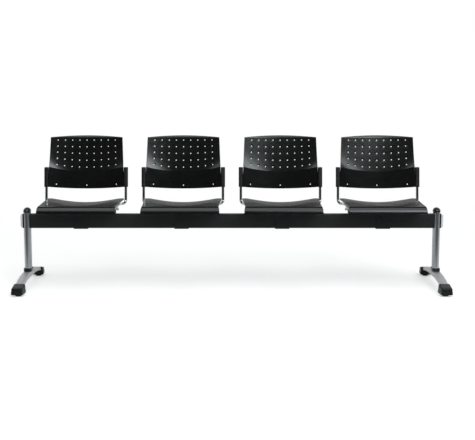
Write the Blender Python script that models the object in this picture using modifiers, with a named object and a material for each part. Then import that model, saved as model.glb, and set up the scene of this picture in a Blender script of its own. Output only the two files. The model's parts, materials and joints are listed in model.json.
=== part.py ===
"""Four-seat beam bench: a steel beam on two oval columns, carrying four plastic seats.

Metres, +Z up, floor at z = 0. The sitter faces -Y and +X is to the right in front view.
"""

import math

import bmesh
import bpy
from mathutils import Matrix, Vector

OBJECT_NAME = "beam_bench"
SEAT_COUNT = 4
SIDES = {"left": -1, "right": 1}
ENDS = {"front": 0.0, "rear": math.pi}

# Clearance between pieces that touch
FIT_GAP = 0.0003

# Beam: rectangular steel tube
BEAM_HEIGHT = 0.080
BEAM_DEPTH = 0.040
BEAM_WALL = 0.003
BEAM_CORNER = 0.004
BEAM_TOP = 0.408
BEAM_OVERHANG = 0.0005

# Beam ends: a push-in plug with a thin flange, then a domed cap
PLUG_FLANGE = 0.003
PLUG_ROD_CLEAR = 0.003
END_CAP_DOME = 0.0135
END_CAP_INSET = 0.001
END_CAP_ROUND = 0.0125
PEG_RADIUS = 0.006
PEG_LENGTH = 0.010

# Columns: oval tube, pierced by the beam
COLUMN_WIDTH = 0.040
COLUMN_NOSE = 0.015
COLUMN_WALL = 0.003
COLUMN_LIP = 0.0015
OVAL_SIDES = 20

# Clamp inside each column: block on the beam, rod down to the foot, nut on top
BLOCK_HEIGHT = 0.005
ROD_RADIUS = 0.005
ROD_HEAD_RADIUS = 0.008
ROD_HEAD_HEIGHT = 0.008
ROD_TIP = 0.002
NUT_RADIUS = 0.0098
NUT_HEIGHT = 0.008

# Ball-like cap on each column
DOME_SPREAD = 0.0012
DOME_RISE = 0.0215
DOME_NECK = 0.007
DOME_RINGS = 8

# Oval collar round the foot of each column
COLLAR_HEIGHT = 0.018
COLLAR_WALL = 0.0035

# Foot: arched casting
FOOT_WIDTH = 0.042
FOOT_CROWN = 0.083
FOOT_THICK = 0.026
FOOT_TAPER = 0.006
FOOT_REACH = 0.336
FOOT_EDGE = 0.004
FOOT_STEPS = 5
ARCH_RADIUS = 1.05
CROWN_MARGIN = 0.002
SPIGOT_HEIGHT = 0.012

# Foot end caps
CAP_LENGTH = 0.076
CAP_WALL = 0.008
CAP_TOP_WALL = 0.004
CAP_SIDE_WALL = 0.0135
CAP_EDGE = 0.0025
CAP_LIP_HEIGHT = 0.012
CAP_LIP_STEP = 0.0012
CAP_LIP_CORNER = 0.009

# Levelling glides
PAD_RADIUS = 0.017
PAD_SHOULDER = 0.013
PAD_RIM = 0.007
PAD_HEIGHT = 0.0155
PAD_FLOOR = 0.003
STEM_RADIUS = 0.004
STEM_LENGTH = 0.034
STEM_TIP = 0.001
STEM_SIDES = 8
GLIDE_INSET = 0.032

# Seat shell
SEAT_WIDTH = 0.430
SEAT_FLARE = 0.007
SEAT_FRONT = -0.215
SEAT_REAR = 0.205
SEAT_WALL = 0.005
SEAT_RISE = 0.030
SEAT_DISH = 0.0215
DISH_SPAN = 0.887
DISH_POWER = 1.2
DISH_BOW = 6.4
DISH_EASE = 1.15
LIP_RADIUS = 0.040
LIP_SKIRT = 0.006
LIP_SHOULDER = 0.006
LIP_SWEEP = math.radians(80.0)
LIP_STEPS = 3
RIM_DROP = 0.006
RIM_SHARE = 0.985
SEAT_ROWS = (0.0, 0.2, 0.4, 0.6, 0.8, 1.0)
SEAT_COLUMNS = (0.0, 0.45, 0.84)
BOSS_RADIUS = 0.008
BOSS_X = 0.120
BOSS_Y = 0.045
BOSS_SIDES = 8

# Seat frame: bent round tube and a pressed cross plate
TUBE_RADIUS = 0.008
TUBE_STEPS = 2
UPRIGHT_CLEAR = 0.008
UPRIGHT_Y = 0.215
UPRIGHT_LEAN = math.radians(8.0)
UPRIGHT_BEND = 0.024
RAIL_TUCK = 0.015
RAIL_KNEE_Y = 0.060
RAIL_KNEE_BEND = 0.150
RAIL_INSET = 0.027
RAIL_FRONT_Y = -0.160
RAIL_FRONT_BEND = 0.045
BEND_STEPS = 3
KNEE_STEPS = 1
WELD_SINK = 0.0012
PLATE_WALL = 0.004
PLATE_DEPTH = 0.140
PLATE_FLANGE = 0.016
PLATE_LAP = 0.004

# Clamp of each seat on the beam
SADDLE_HEIGHT = 0.022
SADDLE_WALL = 0.004
CLAMP_WIDTH = 0.080
STRAP_WALL = 0.004
STRAP_SHORT = 0.002
STRAP_CORNER_STEPS = 3
BOLT_RADIUS = 0.004
BOLT_X = 0.024
BOLT_HEAD_RADIUS = 0.0075
BOLT_HEAD_HEIGHT = 0.0055
BOLT_TIP = 0.002
HEX = 6
ROUND = 12

# Backrest: perforated curved panel between two moulded sleeves
SLEEVE_WIDTH = 0.0248
SLEEVE_DEPTH = 0.028
SLEEVE_LENGTH = 0.113
SLEEVE_ROUND = 0.008
SLEEVE_ROOF = 0.010
SLEEVE_ROUND_STEPS = 2
BACK_WALL = 0.005
BACK_LIFT = 0.0945
BACK_SAG = 0.012
BACK_LAP = 0.002
BACK_TAPER = 0.0115
BACK_SET = 0.006
BACK_HOLLOW = 0.030
CREASE_LIFT = 0.116
CREASE_SAG = 0.030
CREASE_STEP = 0.012
CREASE_FADE = 0.040
UPPER_RISE = 0.167
UPPER_LEAN = math.radians(11.0)
ARCH_CORNER = 0.002
ARCH_RISE = 0.0095
ROLL_RADIUS = 0.012
HOLE_SIZE = 0.006
HOLE_ROWS = (0.87, 0.67, 0.47, 0.275, 0.08)
HOLE_COLUMNS = 9
HOLE_SPAN = 0.794
LOW_HOLE_LIFT = 0.0195
LOW_HOLE_COLUMNS = (0, 4, 8)

# Space between neighbours along the beam
SEAT_GAP = 0.079
COLUMN_CLEAR = 0.040

# Levels and positions that follow from the sizes above
BEAM_BOTTOM = BEAM_TOP - BEAM_HEIGHT
COLUMN_DEPTH = BEAM_DEPTH + 2.0 * COLUMN_NOSE
COLUMN_TOP = BEAM_TOP + FIT_GAP + BLOCK_HEIGHT + COLUMN_LIP
COLUMN_FOOT = FOOT_CROWN + FIT_GAP
COLLAR_GROWTH = 2.0 * (FIT_GAP + COLLAR_WALL)
CROWN_FLAT = COLUMN_DEPTH / 2.0 + COLLAR_GROWTH / 2.0 + CROWN_MARGIN
SADDLE_FOOT = BEAM_TOP + FIT_GAP
SADDLE_TOP = SADDLE_FOOT + SADDLE_HEIGHT
PLATE_TOP = SADDLE_TOP + FIT_GAP + PLATE_WALL
RAIL_Z = PLATE_TOP + TUBE_RADIUS - WELD_SINK
SEAT_Z = RAIL_Z + SEAT_RISE
BOLT_Z = SADDLE_FOOT + SADDLE_HEIGHT / 2.0
UPRIGHT_X = SEAT_WIDTH / 2.0 + SEAT_FLARE + UPRIGHT_CLEAR
RAIL_KNEE_X = SEAT_WIDTH / 2.0 - RAIL_TUCK
RAIL_FRONT_X = SEAT_WIDTH / 2.0 - RAIL_INSET
SLEEVE_FOOT = RAIL_Z + BACK_LIFT
SLEEVE_TOP = SLEEVE_FOOT + SLEEVE_LENGTH
BACK_FOOT = SLEEVE_FOOT
CREASE_Z = BACK_FOOT + CREASE_LIFT
LINE_Z = CREASE_Z + UPPER_RISE
BACK_HALF_LOW = UPRIGHT_X - SLEEVE_WIDTH / 2.0 + BACK_LAP
BACK_HALF_TOP = BACK_HALF_LOW - BACK_TAPER
SEAT_PITCH = 2.0 * UPRIGHT_X + SLEEVE_WIDTH + SEAT_GAP
SEAT_X = [(i - (SEAT_COUNT - 1) / 2.0) * SEAT_PITCH for i in range(SEAT_COUNT)]
LEG_X = SEAT_X[-1] + UPRIGHT_X + SLEEVE_WIDTH / 2.0 + COLUMN_CLEAR + COLUMN_WIDTH / 2.0
BEAM_HALF = LEG_X + COLUMN_WIDTH / 2.0 + BEAM_OVERHANG
PLUG_LENGTH = BEAM_HALF - LEG_X - ROD_RADIUS - PLUG_ROD_CLEAR
CAP_BOTTOM = PAD_HEIGHT + FIT_GAP
CAP_END = FOOT_REACH + FIT_GAP + CAP_WALL
CAP_START = CAP_END - CAP_LENGTH
CAP_HALF = FOOT_WIDTH / 2.0 + FIT_GAP + CAP_SIDE_WALL
GLIDE_Y = FOOT_REACH - GLIDE_INSET
ARM_STEP = (FOOT_REACH - CROWN_FLAT) / FOOT_STEPS
LIP_START = SEAT_FRONT + LIP_RADIUS
STRAP_IN = BEAM_DEPTH / 2.0 + FIT_GAP
STRAP_OUT = STRAP_IN + STRAP_WALL

# Turns an outline drawn in X and Y, with thickness in Z, into Y and Z with thickness in X
SIDE_ON = Matrix(((0, 0, 1, 0), (1, 0, 0, 0), (0, 1, 0, 0), (0, 0, 0, 1)))
MERGE = 0.00001
SHARP_ANGLE = math.radians(35.0)


def evaluated(obj):
    """The finished mesh of an object, with its modifiers; the object is removed."""
    bpy.context.scene.collection.objects.link(obj)
    graph = bpy.context.evaluated_depsgraph_get()
    mesh = bpy.data.meshes.new_from_object(obj.evaluated_get(graph))
    bpy.data.objects.remove(obj)
    return mesh


def cleaned(mesh):
    """The same mesh, welded and with its faces outward."""
    bm = bmesh.new()
    bm.from_mesh(mesh)
    bmesh.ops.remove_doubles(bm, verts=bm.verts, dist=MERGE)
    bmesh.ops.recalc_face_normals(bm, faces=bm.faces)
    bm.to_mesh(mesh)
    bm.free()
    return mesh


def bevelled(mesh, width, steps, angle=math.radians(50.0)):
    """A mesh with its sharp edges rounded."""
    obj = bpy.data.objects.new("bevel", mesh)
    modifier = obj.modifiers.new("bevel", "BEVEL")
    modifier.width = width
    modifier.segments = steps
    modifier.limit_method = "ANGLE"
    modifier.angle_limit = angle
    return evaluated(obj)


def box(size, centre):
    """A plain block."""
    bm = bmesh.new()
    bmesh.ops.create_cube(bm, size=1.0)
    bm.transform(Matrix.Translation(centre) @ Matrix.Diagonal((*size, 1.0)))
    mesh = bpy.data.meshes.new("box")
    bm.to_mesh(mesh)
    bm.free()
    return mesh


def rod(radius, start, end, sides=ROUND):
    """A straight cylinder or prism between two points."""
    start = Vector(start)
    axis = Vector(end) - start
    bm = bmesh.new()
    bmesh.ops.create_cone(
        bm,
        cap_ends=True,
        segments=sides,
        radius1=radius,
        radius2=radius,
        depth=axis.length,
    )
    turn = axis.to_track_quat("Z", "Y").to_matrix().to_4x4()
    bm.transform(Matrix.Translation(start + axis / 2.0) @ turn)
    mesh = bpy.data.meshes.new("rod")
    bm.to_mesh(mesh)
    bm.free()
    return mesh


def oval(width, depth, foot, top):
    """An upright elliptical block."""
    mesh = rod(0.5, (0.0, 0.0, 0.0), (0.0, 0.0, 1.0), OVAL_SIDES)
    rise = Matrix.Translation((0.0, 0.0, foot))
    mesh.transform(rise @ Matrix.Diagonal((width, depth, top - foot, 1.0)))
    return mesh


def prism(outline, half_width):
    """A flat outline of (y, z) points, made thick along X."""
    curve = bpy.data.curves.new("outline", "CURVE")
    curve.dimensions = "2D"
    curve.fill_mode = "BOTH"
    curve.extrude = half_width
    spline = curve.splines.new("POLY")
    spline.points.add(len(outline) - 1)
    for point, (y, z) in zip(spline.points, outline):
        point.co = (y, z, 0.0, 1.0)
    spline.use_cyclic_u = True
    mesh = evaluated(bpy.data.objects.new("outline", curve))
    mesh.transform(SIDE_ON)
    return cleaned(mesh)


def turned(profile, sides=ROUND):
    """A solid turned about Z from a profile of (radius, z) points that ends on the axis."""
    mesh = bpy.data.meshes.new("profile")
    edges = [(i, i + 1) for i in range(len(profile) - 1)]
    mesh.from_pydata([(r, 0.0, z) for r, z in profile], edges, [])
    obj = bpy.data.objects.new("profile", mesh)
    modifier = obj.modifiers.new("turn", "SCREW")
    modifier.steps = sides
    modifier.render_steps = sides
    modifier.use_merge_vertices = True
    modifier.merge_threshold = MERGE
    return cleaned(evaluated(obj))


def combined(base, tools, operation):
    """A mesh with each tool mesh joined to it or cut from it."""
    obj = bpy.data.objects.new("base", base)
    helpers = []
    for tool in tools:
        helper = bpy.data.objects.new("tool", tool)
        bpy.context.scene.collection.objects.link(helper)
        helpers.append(helper)
        modifier = obj.modifiers.new("combine", "BOOLEAN")
        modifier.operation = operation
        modifier.solver = "EXACT"
        modifier.object = helper
    mesh = evaluated(obj)
    for helper in helpers:
        bpy.data.objects.remove(helper)
    return mesh


def cut(base, *tools):
    """The base with the tools removed."""
    return combined(base, tools, "DIFFERENCE")


def joined(base, *tools):
    """The base with the tools added."""
    return combined(base, tools, "UNION")


def shell(points, faces, wall):
    """An open surface given an even wall on the side away from its face normals."""
    mesh = bpy.data.meshes.new("surface")
    mesh.from_pydata(points, [], faces)
    obj = bpy.data.objects.new("surface", mesh)
    modifier = obj.modifiers.new("wall", "SOLIDIFY")
    modifier.thickness = wall
    modifier.offset = -1.0
    modifier.use_even_offset = True
    return evaluated(obj)


def fillet(before, corner, after, radius, steps):
    """Points on the round that replaces a corner of a path."""
    back = (before - corner).normalized()
    on = (after - corner).normalized()
    half = back.angle(on) / 2.0
    centre = corner + (back + on).normalized() * radius / math.sin(half)
    start = corner + back * radius / math.tan(half) - centre
    end = corner + on * radius / math.tan(half) - centre
    sweep = start.angle(end)
    points = []
    for i in range(steps + 1):
        share = i / steps
        first = math.sin((1.0 - share) * sweep) / math.sin(sweep)
        second = math.sin(share * sweep) / math.sin(sweep)
        points.append(centre + start * first + end * second)
    return points


def tube(points, radius):
    """A round bar that follows a path, with flat ends."""
    curve = bpy.data.curves.new("path", "CURVE")
    curve.dimensions = "3D"
    curve.bevel_depth = radius
    curve.bevel_resolution = TUBE_STEPS
    curve.use_fill_caps = True
    spline = curve.splines.new("POLY")
    spline.points.add(len(points) - 1)
    for point, place in zip(spline.points, points):
        point.co = (*place, 1.0)
    return cleaned(evaluated(bpy.data.objects.new("path", curve)))


def beam():
    """Hollow beam with a rod hole near each end."""
    middle = (0.0, 0.0, (BEAM_TOP + BEAM_BOTTOM) / 2.0)
    outline = rounded_section(BEAM_DEPTH, BEAM_HEIGHT, BEAM_CORNER, middle[2])
    bore_size = (4.0 * BEAM_HALF, BEAM_DEPTH - 2.0 * BEAM_WALL, BEAM_HEIGHT - 2.0 * BEAM_WALL)
    holes = []
    for side in SIDES.values():
        x = side * LEG_X
        low = (x, 0.0, BEAM_BOTTOM - BEAM_WALL)
        high = (x, 0.0, BEAM_TOP + BEAM_WALL)
        holes.append(rod(ROD_RADIUS + FIT_GAP, low, high))
    return cut(prism(outline, BEAM_HALF), box(bore_size, middle), *holes)


def rounded_section(depth, height, corner, middle):
    """Outline of a rectangle in Y and Z with rounded corners."""
    points = []
    quarters = ((1, 1, 0), (-1, 1, 1), (-1, -1, 2), (1, -1, 3))
    for sign_y, sign_z, quarter in quarters:
        y = sign_y * (depth / 2.0 - corner)
        z = middle + sign_z * (height / 2.0 - corner)
        for step in range(STRAP_CORNER_STEPS):
            turn = (quarter + step / (STRAP_CORNER_STEPS - 1)) * math.pi / 2.0
            points.append((y + corner * math.cos(turn), z + corner * math.sin(turn)))
    return points


def end_plug():
    """Plug for the right end of the beam; x = 0 is the end of the tube."""
    middle = (BEAM_TOP + BEAM_BOTTOM) / 2.0
    flange = prism(
        rounded_section(BEAM_DEPTH, BEAM_HEIGHT, BEAM_CORNER, middle),
        PLUG_FLANGE / 2.0,
    )
    flange.transform(Matrix.Translation((FIT_GAP + PLUG_FLANGE / 2.0, 0.0, 0.0)))
    loss = 2.0 * (BEAM_WALL + FIT_GAP)
    length = PLUG_LENGTH + FIT_GAP + PLUG_FLANGE / 2.0
    size = (length, BEAM_DEPTH - loss, BEAM_HEIGHT - loss)
    insert = box(size, (length / 2.0 - PLUG_LENGTH, 0.0, middle))
    face = FIT_GAP + PLUG_FLANGE
    deep = face - PEG_LENGTH - 2.0 * FIT_GAP
    peg_hole = rod(PEG_RADIUS + FIT_GAP, (deep, 0.0, middle), (face + PLUG_FLANGE, 0.0, middle))
    return cut(joined(flange, insert), peg_hole)


def end_cap():
    """Domed cap outside the right plug, with its peg."""
    middle = (BEAM_TOP + BEAM_BOTTOM) / 2.0
    face = 2.0 * FIT_GAP + PLUG_FLANGE
    size = (
        2.0 * END_CAP_DOME,
        BEAM_DEPTH - 2.0 * END_CAP_INSET,
        BEAM_HEIGHT - 2.0 * END_CAP_INSET,
    )
    pillow = bevelled(box(size, (face, 0.0, middle)), END_CAP_ROUND, 3)
    inner = box([2.0 * s for s in size], (face - size[0], 0.0, middle))
    peg = rod(PEG_RADIUS, (face - PEG_LENGTH, 0.0, middle), (face + PEG_LENGTH / 2.0, 0.0, middle))
    return joined(cut(pillow, inner), peg)


def column():
    """Oval tube with a window for the beam."""
    wall = 2.0 * COLUMN_WALL
    body = oval(COLUMN_WIDTH, COLUMN_DEPTH, COLUMN_FOOT, COLUMN_TOP)
    bore = oval(
        COLUMN_WIDTH - wall,
        COLUMN_DEPTH - wall,
        COLUMN_FOOT - COLUMN_WALL,
        COLUMN_TOP + COLUMN_WALL,
    )
    size = (2.0 * COLUMN_WIDTH, BEAM_DEPTH + 2.0 * FIT_GAP, BEAM_HEIGHT + 2.0 * FIT_GAP)
    window = box(size, (0.0, 0.0, (BEAM_TOP + BEAM_BOTTOM) / 2.0))
    return cut(body, bore, window)


def bore_oval(foot, top):
    """A block that fills the bore of a column, less the fit."""
    loss = 2.0 * (COLUMN_WALL + FIT_GAP)
    return oval(COLUMN_WIDTH - loss, COLUMN_DEPTH - loss, foot, top)


def rod_hole(foot, top):
    """Cutter for the clamp rod."""
    return rod(ROD_RADIUS + FIT_GAP, (0.0, 0.0, foot), (0.0, 0.0, top))


def clamp_block():
    """Block inside the column, on top of the beam."""
    foot = BEAM_TOP + FIT_GAP
    top = foot + BLOCK_HEIGHT
    return cut(bore_oval(foot, top), rod_hole(foot - BLOCK_HEIGHT, top + BLOCK_HEIGHT))


def nut_foot():
    """Level of the underside of the clamp nut."""
    return BEAM_TOP + BLOCK_HEIGHT + 2.0 * FIT_GAP


def clamp_nut():
    """Hexagon nut on the clamp rod."""
    foot = nut_foot()
    top = foot + NUT_HEIGHT
    body = rod(NUT_RADIUS, (0.0, 0.0, foot), (0.0, 0.0, top), HEX)
    return cut(body, rod_hole(foot - NUT_HEIGHT, top + NUT_HEIGHT))


def rod_seat():
    """Level of the shoulder under the foot that the rod head pulls against."""
    return FOOT_CROWN - FOOT_THICK + ROD_HEAD_HEIGHT + FIT_GAP


def clamp_rod():
    """Headed rod from under the foot up through the beam."""
    shoulder = rod_seat() - FIT_GAP
    top = nut_foot() + NUT_HEIGHT + ROD_TIP
    return turned(
        [
            (0.0, shoulder - ROD_HEAD_HEIGHT),
            (ROD_HEAD_RADIUS, shoulder - ROD_HEAD_HEIGHT),
            (ROD_HEAD_RADIUS, shoulder),
            (ROD_RADIUS, shoulder),
            (ROD_RADIUS, top),
            (0.0, top),
        ]
    )


def column_cap():
    """Bulging dome with a pocket for the clamp nut."""
    base = COLUMN_TOP + FIT_GAP
    bm = bmesh.new()
    bmesh.ops.create_uvsphere(bm, u_segments=OVAL_SIDES, v_segments=DOME_RINGS, radius=1.0)
    size = (COLUMN_WIDTH / 2.0 + DOME_SPREAD, COLUMN_DEPTH / 2.0 + DOME_SPREAD, DOME_RISE, 1.0)
    bm.transform(Matrix.Translation((0.0, 0.0, base + DOME_NECK)) @ Matrix.Diagonal(size))
    ball = bpy.data.meshes.new("ball")
    bm.to_mesh(ball)
    bm.free()
    block = (2.0 * COLUMN_WIDTH, 2.0 * COLUMN_DEPTH, 2.0 * DOME_RISE)
    below = box(block, (0.0, 0.0, base - DOME_RISE))
    tip = nut_foot() + NUT_HEIGHT + ROD_TIP + FIT_GAP
    pocket = rod(NUT_RADIUS + FIT_GAP, (0.0, 0.0, base - DOME_NECK), (0.0, 0.0, tip))
    return cut(ball, below, pocket)


def base_collar():
    """Oval ring on the foot, round the column."""
    fit = 2.0 * FIT_GAP
    top = COLUMN_FOOT + COLLAR_HEIGHT
    outer = oval(COLUMN_WIDTH + COLLAR_GROWTH, COLUMN_DEPTH + COLLAR_GROWTH, COLUMN_FOOT, top)
    bore = oval(
        COLUMN_WIDTH + fit,
        COLUMN_DEPTH + fit,
        COLUMN_FOOT - COLLAR_HEIGHT,
        top + COLLAR_HEIGHT,
    )
    return cut(outer, bore)


def arch_drop(run):
    """Fall of the arch below its crown."""
    return ARCH_RADIUS - math.sqrt(ARCH_RADIUS**2 - run**2)


def arch(reach):
    """Height of the top of the foot at a distance from the column, on its flat facets."""
    share = max(0.0, abs(reach) - CROWN_FLAT) / ARM_STEP
    first = min(FOOT_STEPS - 1, int(share))
    low = arch_drop(first * ARM_STEP)
    high = arch_drop((first + 1) * ARM_STEP)
    return FOOT_CROWN - low - (high - low) * (share - first)


def arch_under(reach):
    """Height of the underside of the foot, which thins towards its ends."""
    share = max(0.0, abs(reach) - CROWN_FLAT) / (FOOT_REACH - CROWN_FLAT)
    return arch(reach) - FOOT_THICK + FOOT_TAPER * share


def arm_reaches(first, last):
    """Distances of the facet edges along one arm of the foot, between two others."""
    edges = [CROWN_FLAT + ARM_STEP * i for i in range(FOOT_STEPS + 1)]
    return [first] + [edge for edge in edges if first + MERGE < edge < last - MERGE] + [last]


def foot():
    """Arched casting with a spigot for the column and holes for rod and glides."""
    arm = arm_reaches(CROWN_FLAT, FOOT_REACH)
    along = [-y for y in reversed(arm)] + arm
    top = [(y, arch(y)) for y in along]
    bottom = [(y, arch_under(y)) for y in reversed(along)]
    body = bevelled(prism(top + bottom, FOOT_WIDTH / 2.0), FOOT_EDGE, 1)
    spigot = bore_oval(FOOT_CROWN - SPIGOT_HEIGHT / 2.0, FOOT_CROWN + SPIGOT_HEIGHT)
    under = FOOT_CROWN - 2.0 * FOOT_THICK
    sink = rod(ROD_HEAD_RADIUS + FIT_GAP, (0.0, 0.0, under), (0.0, 0.0, rod_seat()))
    holes = [stem_hole(-GLIDE_Y), stem_hole(GLIDE_Y)]
    through = rod_hole(under, FOOT_CROWN + 2.0 * SPIGOT_HEIGHT)
    return cut(joined(body, spigot), sink, through, *holes)


def stem_hole(y):
    """Cutter for a glide stem."""
    return rod(STEM_RADIUS + FIT_GAP, (0.0, y, -PAD_HEIGHT), (0.0, y, FOOT_CROWN))


def foot_cap():
    """Plastic cap on the front end of the foot."""
    ends = (CAP_START + CAP_LIP_STEP, CAP_END - CAP_LIP_STEP)
    crown = [(-y, arch(y) + FIT_GAP + CAP_TOP_WALL) for y in ends]
    low = CAP_BOTTOM + CAP_LIP_HEIGHT / 2.0
    outline = crown + [(crown[-1][0], low), (crown[0][0], low)]
    body = bevelled(prism(outline, CAP_HALF - CAP_LIP_STEP), CAP_EDGE, 1)
    size = (2.0 * CAP_HALF, CAP_LENGTH, CAP_LIP_HEIGHT)
    middle = (0.0, -(CAP_START + CAP_END) / 2.0, CAP_BOTTOM + CAP_LIP_HEIGHT / 2.0)
    lip = upright_bevel(box(size, middle), CAP_LIP_CORNER, 2)
    arm = arm_reaches(CAP_START - CAP_WALL, FOOT_REACH + FIT_GAP)
    top = [(-y, arch(y) + FIT_GAP) for y in arm]
    bottom = [(-y, arch_under(y) - FIT_GAP) for y in reversed(arm)]
    pocket = prism(top + bottom, FOOT_WIDTH / 2.0 + FIT_GAP)
    drill = rod(STEM_RADIUS + FIT_GAP, (0.0, -GLIDE_Y, -PAD_HEIGHT), (0.0, -GLIDE_Y, arch(GLIDE_Y)))
    return cut(joined(lip, body), pocket, drill)


def upright_bevel(mesh, width, steps):
    """A block with only its upright edges rounded."""
    bm = bmesh.new()
    bm.from_mesh(mesh)
    edges = [e for e in bm.edges if abs((e.verts[0].co - e.verts[1].co).normalized().z) > 0.5]
    bmesh.ops.bevel(bm, geom=edges, offset=width, segments=steps, profile=0.5, affect="EDGES")
    bm.to_mesh(mesh)
    bm.free()
    return mesh


def glide_pad():
    """Round floor pad with a socket for its stem."""
    hole = STEM_RADIUS + FIT_GAP
    return turned(
        [
            (0.0, 0.0),
            (PAD_RADIUS, 0.0),
            (PAD_RADIUS, PAD_RIM),
            (PAD_SHOULDER, PAD_HEIGHT),
            (hole, PAD_HEIGHT),
            (hole, PAD_FLOOR),
            (0.0, PAD_FLOOR),
        ]
    )


def glide_stem():
    """Screwed stem of a glide."""
    start = PAD_FLOOR + FIT_GAP
    top = start + STEM_LENGTH
    return turned(
        [
            (0.0, start),
            (STEM_RADIUS, start),
            (STEM_RADIUS, top - STEM_TIP),
            (STEM_RADIUS - STEM_TIP, top),
            (0.0, top),
        ],
        STEM_SIDES,
    )


def seat_run(y):
    """Share of the way back from the front lip, from 0 to 1."""
    return min(1.0, max(0.0, (y - LIP_START) / (SEAT_REAR - LIP_START)))


def seat_half(y):
    """Half the width of the seat behind its lip, which widens towards the back."""
    return SEAT_WIDTH / 2.0 - LIP_SHOULDER + (LIP_SHOULDER + SEAT_FLARE) * seat_run(y)


def seat_dip(x, y):
    """Depth of the dish, which starts at the lip in the middle and further back at the sides."""
    start = LIP_START + DISH_BOW * x * x
    run = min(1.0, max(0.0, (y - start) / (SEAT_REAR - start)))
    across = max(0.0, 1.0 - (x / (DISH_SPAN * seat_half(y))) ** 2)
    return SEAT_DISH * run**DISH_EASE * across**DISH_POWER


def seat_section():
    """Rows (half width, y, z) of the seat from its rear edge, over the front lip and down."""
    rows = []
    for share in SEAT_ROWS:
        y = SEAT_REAR + (LIP_START - SEAT_REAR) * share
        rows.append((seat_half(y), y, SEAT_Z))
    for i in range(1, LIP_STEPS + 1):
        turn = LIP_SWEEP * i / LIP_STEPS
        half = SEAT_WIDTH / 2.0 - LIP_SHOULDER * (1.0 - math.sin(turn))
        drop = LIP_RADIUS * (1.0 - math.cos(turn))
        rows.append((half, LIP_START - LIP_RADIUS * math.sin(turn), SEAT_Z - drop))
    y = rows[-1][1] - LIP_SKIRT * math.cos(LIP_SWEEP)
    z = rows[-1][2] - LIP_SKIRT * math.sin(LIP_SWEEP)
    rows.append((SEAT_WIDTH / 2.0, y, z))
    return rows


def seat_shell():
    """Dished seat with a rolled front lip, turned-down side rims and four bosses."""
    inner = [*SEAT_COLUMNS, RIM_SHARE]
    shares = [-s for s in reversed(inner[1:])] + inner
    columns = [(-1.0, RIM_DROP)] + [(s, 0.0) for s in shares] + [(1.0, RIM_DROP)]
    section = seat_section()
    points = []
    for half, y, z in section:
        for share, drop in columns:
            x = share * half
            points.append((x, y, z - drop - seat_dip(x, y)))
    wide = len(columns)
    faces = []
    for row in range(len(section) - 1):
        for i in range(wide - 1):
            a = row * wide + i
            faces.append((a, a + wide, a + wide + 1, a + 1))
    body = shell(points, faces, SEAT_WALL)
    bosses = []
    for x in (-BOSS_X, BOSS_X):
        for y in (-BOSS_Y, BOSS_Y):
            top = SEAT_Z - seat_dip(x, y) - SEAT_WALL / 2.0
            bosses.append(rod(BOSS_RADIUS, (x, y, PLATE_TOP + FIT_GAP), (x, y, top), BOSS_SIDES))
    return joined(body, *bosses)


def upright_y(z):
    """Position of the leaning upright at a height."""
    return UPRIGHT_Y + (z - RAIL_Z) * math.tan(UPRIGHT_LEAN)


def seat_frame():
    """Bent tube from one upright round to the other, with its cross plate."""
    end = SLEEVE_TOP - SLEEVE_ROOF - FIT_GAP
    head = Vector((UPRIGHT_X, upright_y(end), end))
    corner = Vector((UPRIGHT_X, UPRIGHT_Y, RAIL_Z))
    knee = Vector((RAIL_KNEE_X, RAIL_KNEE_Y, RAIL_Z))
    front = Vector((RAIL_FRONT_X, RAIL_FRONT_Y, RAIL_Z))
    across = Vector((-RAIL_FRONT_X, RAIL_FRONT_Y, RAIL_Z))
    half = [head]
    half += fillet(head, corner, knee, UPRIGHT_BEND, BEND_STEPS)
    half += fillet(corner, knee, front, RAIL_KNEE_BEND, KNEE_STEPS)
    half += fillet(knee, front, across, RAIL_FRONT_BEND, BEND_STEPS)
    path = half + [Vector((-p.x, p.y, p.z)) for p in reversed(half)]
    edge = PLATE_DEPTH / 2.0
    inner = edge - PLATE_WALL
    section = [
        (-edge, PLATE_TOP),
        (-edge, PLATE_TOP - PLATE_FLANGE),
        (-inner, PLATE_TOP - PLATE_FLANGE),
        (-inner, PLATE_TOP - PLATE_WALL),
        (inner, PLATE_TOP - PLATE_WALL),
        (inner, PLATE_TOP - PLATE_FLANGE),
        (edge, PLATE_TOP - PLATE_FLANGE),
        (edge, PLATE_TOP),
    ]
    return joined(tube(path, TUBE_RADIUS), prism(section, RAIL_KNEE_X + PLATE_LAP))


def bolt_bar(radius, start, end, x=0.0):
    """A six-sided bar along a clamp bolt."""
    return rod(radius, (x, start, BOLT_Z), (x, end, BOLT_Z), HEX)


def bolt_holes():
    """Cutters for the two clamp bolts."""
    reach = 2.0 * STRAP_OUT
    holes = []
    for x in (-BOLT_X, BOLT_X):
        holes.append(bolt_bar(BOLT_RADIUS + FIT_GAP, -reach, reach, x))
    return holes


def beam_saddle():
    """Short hollow block between beam and cross plate."""
    middle = (0.0, 0.0, SADDLE_FOOT + SADDLE_HEIGHT / 2.0)
    loss = 2.0 * SADDLE_WALL
    bore = box((2.0 * CLAMP_WIDTH, BEAM_DEPTH - loss, SADDLE_HEIGHT - loss), middle)
    return cut(box((CLAMP_WIDTH, BEAM_DEPTH, SADDLE_HEIGHT), middle), bore, *bolt_holes())


def clamp_strap():
    """Strap under the beam, bolted to both sides of the saddle."""
    top = SADDLE_TOP - STRAP_SHORT
    floor = BEAM_BOTTOM - FIT_GAP
    outline = [(STRAP_OUT, top), (STRAP_IN, top), (STRAP_IN, floor), (-STRAP_IN, floor)]
    outline += [(-STRAP_IN, top), (-STRAP_OUT, top)]
    for side, first in ((-1.0, 0.0), (1.0, math.pi / 2.0)):
        for step in range(STRAP_CORNER_STEPS):
            turn = math.pi + first + math.pi / 2.0 * step / (STRAP_CORNER_STEPS - 1)
            y = side * STRAP_IN + STRAP_WALL * math.cos(turn)
            outline.append((y, floor + STRAP_WALL * math.sin(turn)))
    return cut(prism(outline, CLAMP_WIDTH / 2.0), *bolt_holes())


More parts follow.
